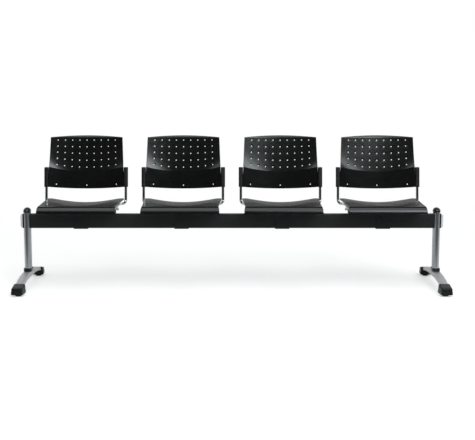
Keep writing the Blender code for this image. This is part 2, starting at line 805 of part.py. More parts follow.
def clamp_bolt():
    """Hexagon bolt with its nut done up; x = 0 is the bolt axis."""
    face = STRAP_OUT + FIT_GAP
    far = face + BOLT_HEAD_HEIGHT
    shank = bolt_bar(BOLT_RADIUS, -face - BOLT_HEAD_HEIGHT / 2.0, far + BOLT_TIP)
    head = bolt_bar(BOLT_HEAD_RADIUS, -far, -face)
    nut = bolt_bar(BOLT_HEAD_RADIUS, face, far)
    return joined(head, shank, nut)


def crease(share):
    """Height of the smile-shaped crease across the back."""
    return CREASE_Z - CREASE_SAG * (1.0 - share * share)


def back_point(share, z, roll):
    """Front face of the back panel; share runs from -1 to 1 across it."""
    fold = crease(share)
    rise = max(0.0, z - fold)
    y = upright_y(min(z, fold)) - BACK_SET + BACK_HOLLOW * (1.0 - share * share)
    y += rise * math.tan(UPPER_LEAN)
    y += CREASE_STEP * share * share * (1.0 - math.exp(-rise / CREASE_FADE))
    y += roll * roll / (2.0 * ROLL_RADIUS)
    taper = min(1.0, (z - BACK_FOOT + BACK_SAG) / (LINE_Z - BACK_FOOT + BACK_SAG))
    half = BACK_HALF_LOW + (BACK_HALF_TOP - BACK_HALF_LOW) * taper
    return (share * half, y, z)


def back_rows(share):
    """Heights of the rows of the back panel, from its lower edge to its top edge."""
    bow = 1.0 - share * share
    hole = HOLE_SIZE / 2.0
    fold = crease(share)
    foot_z = BACK_FOOT - BACK_SAG * bow
    low = foot_z + LOW_HOLE_LIFT
    rows = [foot_z, low - hole, low + hole, fold]
    for drop in HOLE_ROWS:
        middle = LINE_Z - drop * (LINE_Z - fold)
        rows += [middle - hole, middle + hole]
    rows += [LINE_Z, LINE_Z + ARCH_CORNER + ARCH_RISE * bow]
    return rows


def back_shares():
    """Positions across the panel of the sides of the holes, between its two edges."""
    hole = HOLE_SIZE / (BACK_HALF_LOW + BACK_HALF_TOP)
    shares = [-1.0]
    for i in range(HOLE_COLUMNS):
        middle = HOLE_SPAN * (2.0 * i / (HOLE_COLUMNS - 1) - 1.0)
        shares += [middle - hole, middle + hole]
    return shares + [1.0]


def back_open(row, column_index):
    """Whether a cell of the panel is one of its square holes."""
    if column_index % 2 == 0:
        return False
    first = 4
    if row == 1:
        return (column_index - 1) // 2 in LOW_HOLE_COLUMNS
    return row >= first and (row - first) % 2 == 0 and (row - first) // 2 < len(HOLE_ROWS)


def back_panel():
    """Perforated panel as a closed shell."""
    shares = back_shares()
    grid = [back_rows(share) for share in shares]
    tall = len(grid[0])
    points = []
    for share, rows in zip(shares, grid):
        for z in rows:
            points.append(back_point(share, z, max(0.0, z - LINE_Z)))
    faces = []
    for i in range(len(shares) - 1):
        for row in range(tall - 1):
            if back_open(row, i):
                continue
            a = i * tall + row
            faces.append((a, a + tall, a + tall + 1, a + 1))
    return shell(points, faces, BACK_WALL)


def backrest():
    """Panel with a sleeve at each side, bored for the uprights."""
    lean = math.tan(UPRIGHT_LEAN)
    size = (SLEEVE_WIDTH, SLEEVE_DEPTH, SLEEVE_LENGTH)
    middle = (SLEEVE_FOOT + SLEEVE_TOP) / 2.0
    sleeves = []
    bores = []
    for side in SIDES.values():
        block = upright_bevel(box(size, (0.0, 0.0, 0.0)), SLEEVE_ROUND, SLEEVE_ROUND_STEPS)
        tilt = Matrix.Identity(4)
        tilt[1][2] = lean
        block.transform(Matrix.Translation((side * UPRIGHT_X, upright_y(middle), middle)) @ tilt)
        sleeves.append(block)
        low = SLEEVE_FOOT - SLEEVE_ROOF
        high = SLEEVE_TOP - SLEEVE_ROOF
        start = (side * UPRIGHT_X, upright_y(low), low)
        end = (side * UPRIGHT_X, upright_y(high), high)
        bores.append(rod(TUBE_RADIUS + FIT_GAP, start, end))
    return cut(joined(back_panel(), *sleeves), *bores)


def finish(name, colour, metallic, roughness):
    """A plain surface."""
    material = bpy.data.materials.new(name)
    material.use_nodes = True
    shader = material.node_tree.nodes["Principled BSDF"]
    shader.inputs["Base Color"].default_value = (*colour, 1.0)
    shader.inputs["Metallic"].default_value = metallic
    shader.inputs["Roughness"].default_value = roughness
    return material


def group(name, parent, place):
    """An empty that carries a set of pieces."""
    empty = bpy.data.objects.new(name, None)
    empty.parent = parent
    empty.location = place
    bpy.data.collections[OBJECT_NAME].objects.link(empty)
    return empty


def piece(name, mesh, material, parent, place=(0.0, 0.0, 0.0), turn=0.0):
    """One physical piece of the bench."""
    obj = bpy.data.objects.new(name, mesh)
    obj.parent = parent
    obj.location = place
    obj.rotation_euler = (0.0, 0.0, turn)
    if not mesh.materials:
        mesh.materials.append(material)
        mesh.shade_smooth()
        mesh.set_sharp_from_angle(angle=SHARP_ANGLE)
    bpy.data.collections[OBJECT_NAME].objects.link(obj)
    return obj


def build():
    """Make each piece once and place its copies."""
    for old in list(bpy.data.objects):
        bpy.data.objects.remove(old)
    collection = bpy.data.collections.new(OBJECT_NAME)
    bpy.context.scene.collection.children.link(collection)
    black_steel = finish("black_powder_coated_steel", (0.014, 0.014, 0.016), 0.0, 0.42)
    black_plastic = finish("black_polypropylene", (0.016, 0.017, 0.017), 0.0, 0.38)
    gloss_plastic = finish("gloss_black_abs", (0.010, 0.010, 0.011), 0.0, 0.12)
    silver = finish("polished_aluminium", (0.56, 0.56, 0.56), 1.0, 0.28)
    chrome = finish("chromed_steel_tube", (0.62, 0.63, 0.64), 1.0, 0.08)
    zinc = finish("zinc_plated_steel", (0.45, 0.46, 0.47), 1.0, 0.35)
    nylon = finish("black_nylon", (0.012, 0.012, 0.012), 0.0, 0.55)
    root = group("bench", None, (0.0, 0.0, 0.0))
    piece("beam", beam(), black_steel, root)
    plug = end_plug()
    cap = end_cap()
    for side, sign in SIDES.items():
        place = (sign * BEAM_HALF, 0.0, 0.0)
        turn = math.pi * (1 - sign) / 2.0
        piece(f"beam_plug_{side}", plug, gloss_plastic, root, place, turn)
        piece(f"beam_end_cap_{side}", cap, silver, root, place, turn)
    leg_parts = {
        "column": (column(), silver),
        "clamp_block": (clamp_block(), zinc),
        "clamp_rod": (clamp_rod(), zinc),
        "clamp_nut": (clamp_nut(), zinc),
        "column_cap": (column_cap(), gloss_plastic),
        "base_collar": (base_collar(), gloss_plastic),
        "foot": (foot(), silver),
    }
    end_parts = {
        "foot_cap": (foot_cap(), gloss_plastic),
        "glide_pad": (glide_pad(), nylon),
        "glide_stem": (glide_stem(), zinc),
    }
    for side, sign in SIDES.items():
        leg = group(f"leg_{side}", root, (sign * LEG_X, 0.0, 0.0))
        for name, (mesh, material) in leg_parts.items():
            piece(f"{name}_{side}", mesh, material, leg)
        for end, turn in ENDS.items():
            mesh, material = end_parts["foot_cap"]
            piece(f"foot_cap_{side}_{end}", mesh, material, leg, turn=turn)
            place = (0.0, -math.cos(turn) * GLIDE_Y, 0.0)
            for name in ("glide_pad", "glide_stem"):
                mesh, material = end_parts[name]
                piece(f"{name}_{side}_{end}", mesh, material, leg, place)
    seat_parts = {
        "seat_shell": (seat_shell(), black_plastic),
        "backrest": (backrest(), black_plastic),
        "seat_frame": (seat_frame(), chrome),
        "beam_saddle": (beam_saddle(), black_steel),
        "clamp_strap": (clamp_strap(), black_steel),
    }
    bolt = clamp_bolt()
    for number, x in enumerate(SEAT_X, start=1):
        seat = group(f"seat_{number}", root, (x, 0.0, 0.0))
        for name, (mesh, material) in seat_parts.items():
            piece(f"{name}_{number}", mesh, material, seat)
        for side, sign in SIDES.items():
            piece(f"clamp_bolt_{number}_{side}", bolt, zinc, seat, (sign * BOLT_X, 0.0, 0.0))


build()
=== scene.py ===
import json
import math

import bmesh
import bpy
import numpy as np
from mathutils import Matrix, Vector

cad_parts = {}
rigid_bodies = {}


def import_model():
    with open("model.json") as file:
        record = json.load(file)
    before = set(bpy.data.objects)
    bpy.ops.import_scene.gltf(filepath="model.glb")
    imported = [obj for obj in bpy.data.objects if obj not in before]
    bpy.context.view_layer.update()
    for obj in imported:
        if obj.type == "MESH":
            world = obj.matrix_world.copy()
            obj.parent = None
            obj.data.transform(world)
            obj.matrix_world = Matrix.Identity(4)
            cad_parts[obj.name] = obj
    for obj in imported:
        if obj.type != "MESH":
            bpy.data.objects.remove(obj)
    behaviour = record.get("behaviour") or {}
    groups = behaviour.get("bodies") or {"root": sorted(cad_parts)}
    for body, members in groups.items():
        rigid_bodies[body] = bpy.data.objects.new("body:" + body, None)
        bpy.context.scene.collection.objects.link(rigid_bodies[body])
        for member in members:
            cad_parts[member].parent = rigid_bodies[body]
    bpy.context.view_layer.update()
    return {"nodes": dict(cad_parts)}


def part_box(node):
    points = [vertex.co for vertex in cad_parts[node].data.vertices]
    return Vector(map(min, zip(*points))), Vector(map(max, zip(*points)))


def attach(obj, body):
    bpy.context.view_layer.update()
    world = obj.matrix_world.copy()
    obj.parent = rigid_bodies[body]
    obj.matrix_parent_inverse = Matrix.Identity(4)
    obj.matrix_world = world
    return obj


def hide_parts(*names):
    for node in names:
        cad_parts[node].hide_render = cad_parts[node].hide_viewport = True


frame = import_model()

sides = {"left": -1.0, "right": 1.0}
ends = {"front": -1.0, "rear": 1.0}
seatNumbers = (1, 2, 3, 4)


def linearColour(hexText):
    # an sRGB hex value as linear red, green, blue and alpha
    srgb = np.array([int(hexText[i:i + 2], 16) for i in (1, 3, 5)]) / 255.0
    linear = np.where(srgb <= 0.04045, srgb / 12.92, ((srgb + 0.055) / 1.055) ** 2.4)
    return (*linear.tolist(), 1.0)


def addNode(tree, kind, settings=None, links=None):
    # settings are the node's own options or its input values; links are input: (node, output)
    node = tree.nodes.new(kind)
    for key, value in (settings or {}).items():
        if isinstance(key, str) and hasattr(node, key):
            setattr(node, key, value)
        else:
            node.inputs[key].default_value = value
    for key, (source, output) in (links or {}).items():
        tree.links.new(source.outputs[output], node.inputs[key])
    return node


def newFinish(name, slotName, shaderValues):
    # a material with a Principled shader, set on the shader's own sockets
    material = bpy.data.materials.new(name)
    material.use_nodes = True
    for key, value in shaderValues.items():
        material.node_tree.nodes["Principled BSDF"].inputs[key].default_value = value
    if slotName:
        material["slot"] = slotName
    return material, material.node_tree


noiseMiddle = {"From Min": 0.3, "From Max": 0.7}  # where most of a noise's values lie


def patterned(name, slotName, shaderValues, *looks):
    # a finish where each look is a noise of (size, detail) with what it drives: a tint and a roughness are
    # (from, to), a relief is (strength, depth). A size is in metres, or three for a noise drawn out by axis
    material, tree = newFinish(name, slotName, shaderValues)
    shader = tree.nodes["Principled BSDF"]
    for look in looks:
        size, detail = look["noise"]
        place = (addNode(tree, "ShaderNodeTexCoord"), "Object")
        if isinstance(size, tuple):
            scale = tuple(1.0 / length for length in size)
            place = (addNode(tree, "ShaderNodeMapping", {"Scale": scale}, {"Vector": place}), "Vector")
            size = 1.0
        grid = {"Scale": 1.0 / size, "Detail": detail}
        pattern = (addNode(tree, "ShaderNodeTexNoise", grid, {"Vector": place}), "Fac")
        if "tint" in look:
            tint = addNode(tree, "ShaderNodeValToRGB", None, {"Fac": pattern})
            for stop, colour in zip(tint.color_ramp.elements, look["tint"]):
                stop.color = linearColour(colour)
            tree.links.new(tint.outputs["Color"], shader.inputs["Base Color"])
        if "relief" in look:
            swell = dict(zip(("Strength", "Distance"), look["relief"]))
            bump = addNode(tree, "ShaderNodeBump", swell, {"Height": pattern})
            tree.links.new(bump.outputs["Normal"], shader.inputs["Normal"])
        if "roughness" in look:
            low, high = look["roughness"]
            span = {**noiseMiddle, "To Min": low, "To Max": high}
            rough = addNode(tree, "ShaderNodeMapRange", span, {"Value": pattern})
            tree.links.new(rough.outputs["Result"], shader.inputs["Roughness"])
    return material


def mouldedPolypropylene(name, roughness):
    # black polypropylene from a spark-eroded mould: a fine even grain that spreads highlights softly,
    # with slightly shinier patches where clothes have rubbed it. Real grain is about 0.3 mm, drawn coarser
    # so that it shows
    grain = {"noise": (0.0011, 1.0), "tint": ("#060606", "#0b0b0b"), "relief": (0.35, 0.00004)}
    patches = {"noise": (0.090, 3.0), "roughness": roughness}
    return patterned(name, "black_plastic", {"IOR": 1.49}, grain, patches)


def mouldedNylon():
    # black nylon floor pad: dull, and scuffed paler towards the floor
    look = {
        "clean": "#131313",
        "scuffed": "#2c2b2a",
        "scuff": 0.0035,
        "scuffDetail": 4.0,
        "scuffTop": 0.006,
        "rough": 0.55,
    }
    material, tree = newFinish("mouldedNylon", "nylon", {"IOR": 1.53, "Roughness": look["rough"]})
    place = (addNode(tree, "ShaderNodeTexCoord"), "Object")
    grid = {"Scale": 1.0 / look["scuff"], "Detail": look["scuffDetail"]}
    scuff = addNode(tree, "ShaderNodeTexNoise", grid, {"Vector": place})
    split = addNode(tree, "ShaderNodeSeparateXYZ", None, {"Vector": place})
    span = {"From Min": 0.0, "From Max": look["scuffTop"], "To Min": 1.0, "To Max": 0.0}
    low = addNode(tree, "ShaderNodeMapRange", span, {"Value": (split, "Z")})
    factors = {0: (scuff, "Fac"), 1: (low, "Result")}
    amount = addNode(tree, "ShaderNodeMath", {"operation": "MULTIPLY"}, factors)
    tint = addNode(tree, "ShaderNodeValToRGB", None, {"Fac": (amount, "Value")})
    tint.color_ramp.elements[0].color = linearColour(look["clean"])
    tint.color_ramp.elements[1].color = linearColour(look["scuffed"])
    tree.links.new(tint.outputs["Color"], tree.nodes["Principled BSDF"].inputs["Base Color"])
    return material


plasticFinish = mouldedPolypropylene("mouldedPolypropylene", (0.19, 0.25))
sleeveFinish = mouldedPolypropylene("grainedPolypropylene", (0.44, 0.52))
# black polyester powder baked on steel: an even satin skin with the low swells of orange peel
peel = {
    "noise": (0.0022, 0.5),
    "tint": ("#151717", "#1c1e1e"),
    "relief": (0.3, 0.00006),
    "roughness": (0.42, 0.50),
}
coatFinish = patterned("powderCoatedSteel", "black_steel", {"IOR": 1.5, "Specular IOR Level": 0.3}, peel)
# black ABS from a polished mould: deep gloss with the faint haze that wiping leaves
gloss = {"Base Color": linearColour("#0c0c0d"), "IOR": 1.54}
haze = {"noise": (0.030, 4.0), "roughness": (0.12, 0.22)}
glossFinish = patterned("polishedAbs", "gloss_black", gloss, haze)
# black ABS with a fine sand texture: duller than the polished caps, greying where light grazes it
dull = {"Base Color": linearColour("#0a0a0b"), "IOR": 1.54, "Roughness": 0.42, "Specular IOR Level": 0.23}
sand = {"noise": (0.0008, 1.0), "relief": (0.3, 0.00005)}  # drawn coarser than real, so that it shows
textureFinish = patterned("texturedAbs", "gloss_black", dull, sand)
# silver-grey lacquer sprayed on moulded plastic: pale and even, with the fine speckle of its flakes
flake = {"noise": (0.0009, 1.0), "tint": ("#a4a6a8", "#b6b8ba")}  # drawn coarser than real, so that it shows
paintFinish = patterned("satinSilverPaint", "silver", {"IOR": 1.5, "Roughness": 0.42}, flake)
# satin-anodised aluminium extrusion: fine draw lines along its length that soften reflections
lines = {
    "noise": ((0.0012, 0.0012, 0.120), 2.0),  # real lines are finer, drawn coarser so that they show
    "tint": ("#a3a5a8", "#b4b6b8"),
    "relief": (0.25, 0.00002),
    "roughness": (0.26, 0.36),
}
columnFinish = patterned("drawnAluminium", "silver", {"Metallic": 1.0}, lines)
# die-cast aluminium, brushed to a satin: pale, with a slight waviness and cloudy patches
waves = {"noise": (0.018, 1.0), "relief": (0.3, 0.00012)}
clouds = {"noise": (0.045, 4.0), "tint": ("#c2c3c4", "#d0d1d1"), "roughness": (0.46, 0.56)}
castFinish = patterned("satinCastAluminium", "silver", {"Metallic": 1.0}, waves, clouds)
# bright chrome on drawn steel tube: a mirror, dulled a little by handling
mirror = {"Base Color": linearColour("#d3d6d9"), "Metallic": 1.0}
smudges = {"noise": (0.035, 3.0), "roughness": (0.05, 0.12)}
chromeFinish = patterned("chromedSteel", "chrome", mirror, smudges)
# zinc-plated steel, clear passivated: grey, with a faint blue and straw mottle
mottle = {"noise": (0.006, 3.0), "tint": ("#9aa2a8", "#aeaa9f"), "roughness": (0.30, 0.42)}
zincFinish = patterned("zincPlatedSteel", "zinc", {"Metallic": 1.0}, mottle)
nylonFinish = mouldedNylon()
print("finishes made:", len(bpy.data.materials), "materials in the file")

meshing = {
    "weld": 1e-6,
    "edgeSteps": 2,
    "edgeAngle": math.radians(50.0),
    "sharp": 38.0,  # degrees, past which an edge is shaded sharp
    "lid": (0.0, 0.94),  # a point and a narrow border
}


def addObject(name, data):
    # a new object in the scene
    added = bpy.data.objects.new(name, data)
    bpy.context.scene.collection.objects.link(added)
    return added


def gridQuads(points, wrapped, kept):
    # each quad joins four neighbours of a grid; a wrapped grid joins its last column to its first
    index = np.arange(points.shape[0] * points.shape[1]).reshape(points.shape[:2])
    beside = np.roll(index, -1, axis=1)
    quads = np.stack((index[:-1], beside[:-1], beside[1:], index[1:]), axis=-1)
    if not wrapped:
        quads = quads[:, :-1]
    return quads.reshape(-1, 4) if kept is None else quads[kept]


def makePiece(
    name, grids, finish, nodes=(), body="bench", wrapped=True, kept=None,
    wall=0.0, edge=0.0, sharp=meshing["sharp"],
):
    # only the kept cells of a grid are made. A sheet gets a wall behind its outer side, sharp edges get
    # a radius, and the finished mesh takes the finish and rides on its body
    counts = [points.shape[0] * points.shape[1] for points in grids]
    starts = np.cumsum([0] + counts[:-1])
    vertices = np.concatenate([points.reshape(-1, 3) for points in grids])
    quads = np.concatenate([gridQuads(points, wrapped, kept) + start for points, start in zip(grids, starts)])
    mesh = bpy.data.meshes.new(name)
    mesh.from_pydata(vertices.tolist(), [], quads.tolist())
    shape = bmesh.new()
    shape.from_mesh(mesh)
    bmesh.ops.remove_doubles(shape, verts=shape.verts, dist=meshing["weld"])
    loose = [vertex for vertex in shape.verts if not vertex.link_faces]
    bmesh.ops.delete(shape, geom=loose, context="VERTS")
    if not wall:
        bmesh.ops.recalc_face_normals(shape, faces=shape.faces)
    shape.to_mesh(mesh)
    shape.free()
    piece = addObject(name, mesh)
    if wall:
        solidify = piece.modifiers.new("wall", "SOLIDIFY")
        solidify.thickness = wall
        solidify.offset = -1.0
        solidify.use_even_offset = True
    if edge:
        bevel = piece.modifiers.new("edge", "BEVEL")
        bevel.width = edge
        bevel.segments = meshing["edgeSteps"]
        bevel.limit_method = "ANGLE"
        bevel.angle_limit = meshing["edgeAngle"]
    if wall or edge:
        graph = bpy.context.evaluated_depsgraph_get()
        finished = bpy.data.meshes.new_from_object(piece.evaluated_get(graph))
        piece.modifiers.clear()
        piece.data = finished
        bpy.data.meshes.remove(mesh)
        finished.name = name
    piece.data.shade_smooth()
    piece.data.set_sharp_from_angle(angle=math.radians(sharp))
    piece.data.materials.append(finish)
    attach(piece, body)
    if nodes:
        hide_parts(*nodes)
    return piece


def middle(node):
    # centre of a CAD node's box
    low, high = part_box(node)
    return np.array((low + high) / 2.0)


def surface(x, y, z):
    # three coordinates whose shapes fit together, as one array of points
    return np.stack(np.broadcast_arrays(x, y, z), axis=-1)


def asColumn(values):
    # one value for each row of a grid
    return np.reshape(np.asarray(values, float), (-1, 1))


def fullTurn(count):
    # angles once round, without the last, which is the first again
    return np.linspace(0.0, 2.0 * math.pi, count, endpoint=False)


def quarterTurn(count):
    # angles from level to upright
    return np.linspace(0.0, math.pi / 2.0, count)


def lid(ring):
    # a ring drawn in to its middle and to a narrow border, which close the end of a sweep
    heart = ring.mean(axis=1, keepdims=True)
    return heart + (ring - heart) * np.array(meshing["lid"])[:, None, None]


def closedEnds(rings):
    # rings of a sweep with a lid at each end
    return np.concatenate((lid(rings[:1]), rings, lid(rings[-1:])[::-1]))


def roundedLoop(halfWide, halfTall, radius, steps=6):
    # outline of a rectangle with quarter-circle corners; sizes may be columns, one row for each section
    quarter = np.repeat(np.arange(4), steps + 1)
    turn = (quarter + np.tile(np.linspace(0.0, 1.0, steps + 1), 4)) * math.pi / 2.0
    signWide = np.array((1.0, -1.0, -1.0, 1.0))[quarter]
    signTall = np.array((1.0, 1.0, -1.0, -1.0))[quarter]
    wide = signWide * (halfWide - radius) + radius * np.cos(turn)
    tall = signTall * (halfTall - radius) + radius * np.sin(turn)
    return wide, tall


def turned(profile, centre, count=32):
    # a profile of (radius, height) carried round an upright axis through centre
    radius, height = np.array(profile).T[..., None]
    turn = fullTurn(count)
    return surface(centre[0] + radius * np.cos(turn), centre[1] + radius * np.sin(turn), centre[2] + height)


def bentPath(corners, radii, steps=14):
    # a path through corners, each rounded by an arc that touches both of its straight runs
    points = [corners[0][None]]
    for before, corner, after, radius in zip(corners, corners[1:], corners[2:], radii):
        inward = (before - corner) / np.linalg.norm(before - corner)
        outward = (after - corner) / np.linalg.norm(after - corner)
        half = math.acos(np.clip(inward @ outward, -1.0, 1.0)) / 2.0
        bisector = (inward + outward) / np.linalg.norm(inward + outward)
        centre = corner + bisector * radius / math.sin(half)
        first = (corner + inward * radius / math.tan(half) - centre) / radius
        last = (corner + outward * radius / math.tan(half) - centre) / radius
        sweep = math.pi - 2.0 * half
        share = np.linspace(0.0, 1.0, steps + 1)[:, None]
        arc = (first * np.sin((1.0 - share) * sweep) + last * np.sin(share * sweep)) / math.sin(sweep)
        points.append(centre + radius * arc)
    points.append(corners[-1][None])
    return np.concatenate(points)


def sweptTube(path, radius, count=24):
    # circles square to a path; each lies on the cross product of the path's direction and upright
    ahead = np.gradient(path, axis=0)
    ahead /= np.linalg.norm(ahead, axis=1, keepdims=True)
    level = np.cross(ahead, (0.0, 0.0, 1.0))
    level /= np.linalg.norm(level, axis=1, keepdims=True)
    over = np.cross(ahead, level)
    turn = fullTurn(count)[:, None]
    return path[:, None] + radius * (level[:, None] * np.cos(turn) + over[:, None] * np.sin(turn))


def borderedSpan(low, high, border, count):
    # evenly spaced values from low to high, with an extra one close to each end
    return np.concatenate(([low], np.linspace(low + border, high - border, count), [high]))


# Beam and its two ends
beamLow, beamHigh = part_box("beam")
beam = {
    "wall": 0.003, "corner": 0.004, "gap": 0.0003,
    "flange": 0.003, "flangeEdge": 0.0006, "plugDepth": 0.0125, "plugCorner": 0.001,
    "domeInset": 0.001, "domeRise": 0.0135, "domeRound": 0.0125, "domeCorner": 0.0132,
    "domeSwell": 0.0008, "domeRings": 12, "crownShare": 0.85, "crownRings": 6,
}


def boxRings(low, high, along, inset, corner):
    # rounded rectangles across a box at each place along it, drawn in by an inset
    halfDeep = (high.y - low.y) / 2.0 - asColumn(inset)
    halfTall = (high.z - low.z) / 2.0 - asColumn(inset)
    y, z = roundedLoop(halfDeep, halfTall, asColumn(corner))
    return surface(asColumn(along), y, z + (high.z + low.z) / 2.0)


tube = boxRings(beamLow, beamHigh, (beamLow.x, beamHigh.x), (0.0, 0.0), beam["corner"])
makePiece("beamTube", [closedEnds(tube)], coatFinish, ["beam"])
for side, sign in sides.items():
    # plug: an insert in the tube, a step out to its flange, and a rounded rim
    face = beamHigh.x + beam["gap"]
    outside = face + beam["flange"]
    soft = beam["flangeEdge"]
    fit = beam["wall"] + beam["gap"]
    corner = beam["corner"]
    plug = boxRings(
        beamLow, beamHigh,
        (beamHigh.x - beam["plugDepth"], face, face, face + soft, outside - soft, outside),
        (fit, fit, soft, 0.0, 0.0, soft),
        (beam["plugCorner"], beam["plugCorner"], corner - soft, corner, corner, corner - soft),
    )
    plug = plug * (sign, 1.0, 1.0)
    makePiece(f"beamPlug_{side}", [closedEnds(plug)], glossFinish, [f"beam_plug_{side}"])
    # cap: the rim follows a quarter circle inwards while the face swells to a shallow crown
    lift = quarterTurn(beam["domeRings"])
    base = outside + beam["gap"]
    drawIn = beam["domeRound"] * (1.0 - np.cos(lift))
    along = base + (beam["domeRise"] - beam["domeSwell"]) * np.sin(lift)
    rim = boxRings(beamLow, beamHigh, along, beam["domeInset"] + drawIn, beam["domeCorner"] - drawIn)
    shrink = np.linspace(beam["crownShare"], 0.0, beam["crownRings"])[:, None, None]
    heart = rim[-1].mean(axis=0)
    crown = heart + (rim[-1] - heart) * shrink
    crown[..., 0] = base + beam["domeRise"] - beam["domeSwell"] * shrink[..., 0] ** 2
    dome = np.concatenate((lid(rim[:1])[:1], rim, crown)) * (sign, 1.0, 1.0)
    makePiece(f"beamEndCap_{side}", [dome], paintFinish, [f"beam_end_cap_{side}"])
print("beam and ends made")

# Columns with their caps and collars
column = {
    "wall": 0.003, "edge": 0.0006, "around": 72, "windowGap": 0.0003, "windowSteps": 18,
    "belowBeam": (0.004, 3), "aboveBeam": (0.002, 2),  # border and number of rows
    "domeSpread": 0.0012, "domeRise": 0.0215, "domeNeck": 0.007, "domeRings": 30,
    "collarRound": 0.0028, "collarFoot": 0.0008, "collarSquare": 0.5, "collarSteps": 8,
}


def collarRings(centre, halfWide, halfDeep, low, high):
    # a ring whose outer top edge is a quarter circle. Its sections are ellipses grown by an offset; a power
    # below one on the cosine and sine squares the outer ones towards a rounded rectangle
    growth = (high.x - low.x) / 2.0 - halfWide
    soft = column["collarRound"]
    bore = column["windowGap"]
    bend = quarterTurn(column["collarSteps"])
    rim = growth - soft + soft * np.cos(bend)
    offset = asColumn(np.concatenate(((bore, growth - column["collarFoot"], growth), rim, (bore, bore))))
    sole = (low.z, low.z, low.z + column["collarFoot"])
    height = asColumn(np.concatenate((sole, high.z - soft + soft * np.sin(bend), (high.z, low.z))))
    power = np.where(offset > bore, column["collarSquare"], 1.0)
    turn = fullTurn(column["around"])
    across = np.sign(np.cos(turn)) * np.abs(np.cos(turn)) ** power
    along = np.sign(np.sin(turn)) * np.abs(np.sin(turn)) ** power
    return surface(centre[0] + (halfWide + offset) * across, centre[1] + (halfDeep + offset) * along, height)


for side in sides:
    low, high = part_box(f"column_{side}")
    heart = middle(f"column_{side}")
    halfWide = (high.x - low.x) / 2.0
    halfDeep = (high.y - low.y) / 2.0
    # tube: an ellipse carried upwards, with a window on each side where the beam passes through
    gap = column["windowGap"]
    steps = column["windowSteps"]
    mouth = math.asin((beamHigh.y + gap) / halfDeep)
    stops = np.array((-mouth, mouth, math.pi - mouth, math.pi + mouth, 2.0 * math.pi - mouth))
    turn = np.concatenate([np.linspace(a, b, steps, endpoint=False) for a, b in zip(stops, stops[1:])])
    level = np.concatenate((
        borderedSpan(low.z, beamLow.z - gap, *column["belowBeam"]),
        borderedSpan(beamHigh.z + gap, high.z, *column["aboveBeam"]),
    ))
    inMouth = np.tile(np.repeat((True, False, True, False), steps), (len(level) - 1, 1))
    besideBeam = (level[:-1] < beamHigh.z) & (level[1:] > beamLow.z)
    tube = surface(heart[0] + halfWide * np.cos(turn), halfDeep * np.sin(turn), level[:, None])
    makePiece(
        f"ovalColumn_{side}", [tube], columnFinish, [f"column_{side}"],
        kept=~(inMouth & besideBeam[:, None]), wall=column["wall"], edge=column["edge"],
    )
    # cap: the upper part of an ellipsoid a little wider than the tube, closed below
    start = -math.asin(column["domeNeck"] / column["domeRise"])
    climb = np.linspace(start, math.pi / 2.0, column["domeRings"])[:, None]
    around = fullTurn(column["around"])
    dome = surface(
        heart[0] + (halfWide + column["domeSpread"]) * np.cos(climb) * np.cos(around),
        (halfDeep + column["domeSpread"]) * np.cos(climb) * np.sin(around),
        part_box(f"column_cap_{side}")[0].z + column["domeNeck"] + column["domeRise"] * np.sin(climb),
    )
    dome = np.concatenate((lid(dome[:1]), dome))
    makePiece(f"domeCap_{side}", [dome], glossFinish, [f"column_cap_{side}"])
    collar = collarRings(heart, halfWide, halfDeep, *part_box(f"base_collar_{side}"))
    makePiece(f"baseCollar_{side}", [collar], glossFinish, [f"base_collar_{side}"])
print("columns made")

# Arched feet with their end caps and glides
foot = {
    "crownFlat": 0.0408, "archRadius": 1.05, "thick": 0.026, "taper": 0.006,
    "edge": 0.0022, "sections": 96,
}
footLow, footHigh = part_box("foot_left")
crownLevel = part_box("base_collar_left")[0].z - column["windowGap"]


def archTop(y):
    # top of the foot: level under the column, then a circular arc falling towards each end
    run = np.maximum(np.abs(y) - foot["crownFlat"], 0.0)
    return crownLevel - foot["archRadius"] + np.sqrt(foot["archRadius"] ** 2 - run**2)


def archThick(y):
    # depth of the foot, which thins evenly from the column to its ends
    share = np.maximum(np.abs(y) - foot["crownFlat"], 0.0) / (footHigh.y - foot["crownFlat"])
    return foot["thick"] - foot["taper"] * share


for side in sides:
    low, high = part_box(f"foot_{side}")
    y = np.linspace(footLow.y, footHigh.y, foot["sections"])[:, None]
    halfTall = archThick(y) / 2.0
    wide, tall = roundedLoop((high.x - low.x) / 2.0, halfTall, foot["edge"])
    arm = surface(middle(f"foot_{side}")[0] + wide, y, archTop(y) - halfTall + tall)
    makePiece(f"archedFoot_{side}", [closedEnds(arm)], castFinish, [f"foot_{side}"])

footCap = {
    "half": 0.0341, "outerTaper": 0.02, "innerTaper": 0.13, "corner": 0.007, "draft": 0.0012,
    "skirtDrop": 0.005, "skirtWall": 0.003, "skirtRows": 3, "footEdge": 0.0012, "lipHeight": 0.0157,
    "lipStep": 0.0020,
    "slotDeep": 0.0052, "slotTall": 0.0085, "cheek": 0.0015, "mouthWall": 0.0008, "endWall": 0.0069,
    "topRound": 0.008, "roundFade": 0.66, "roundSteps": 7, "topShares": (0.92, 0.69, 0.46, 0.23, 0.0),
}


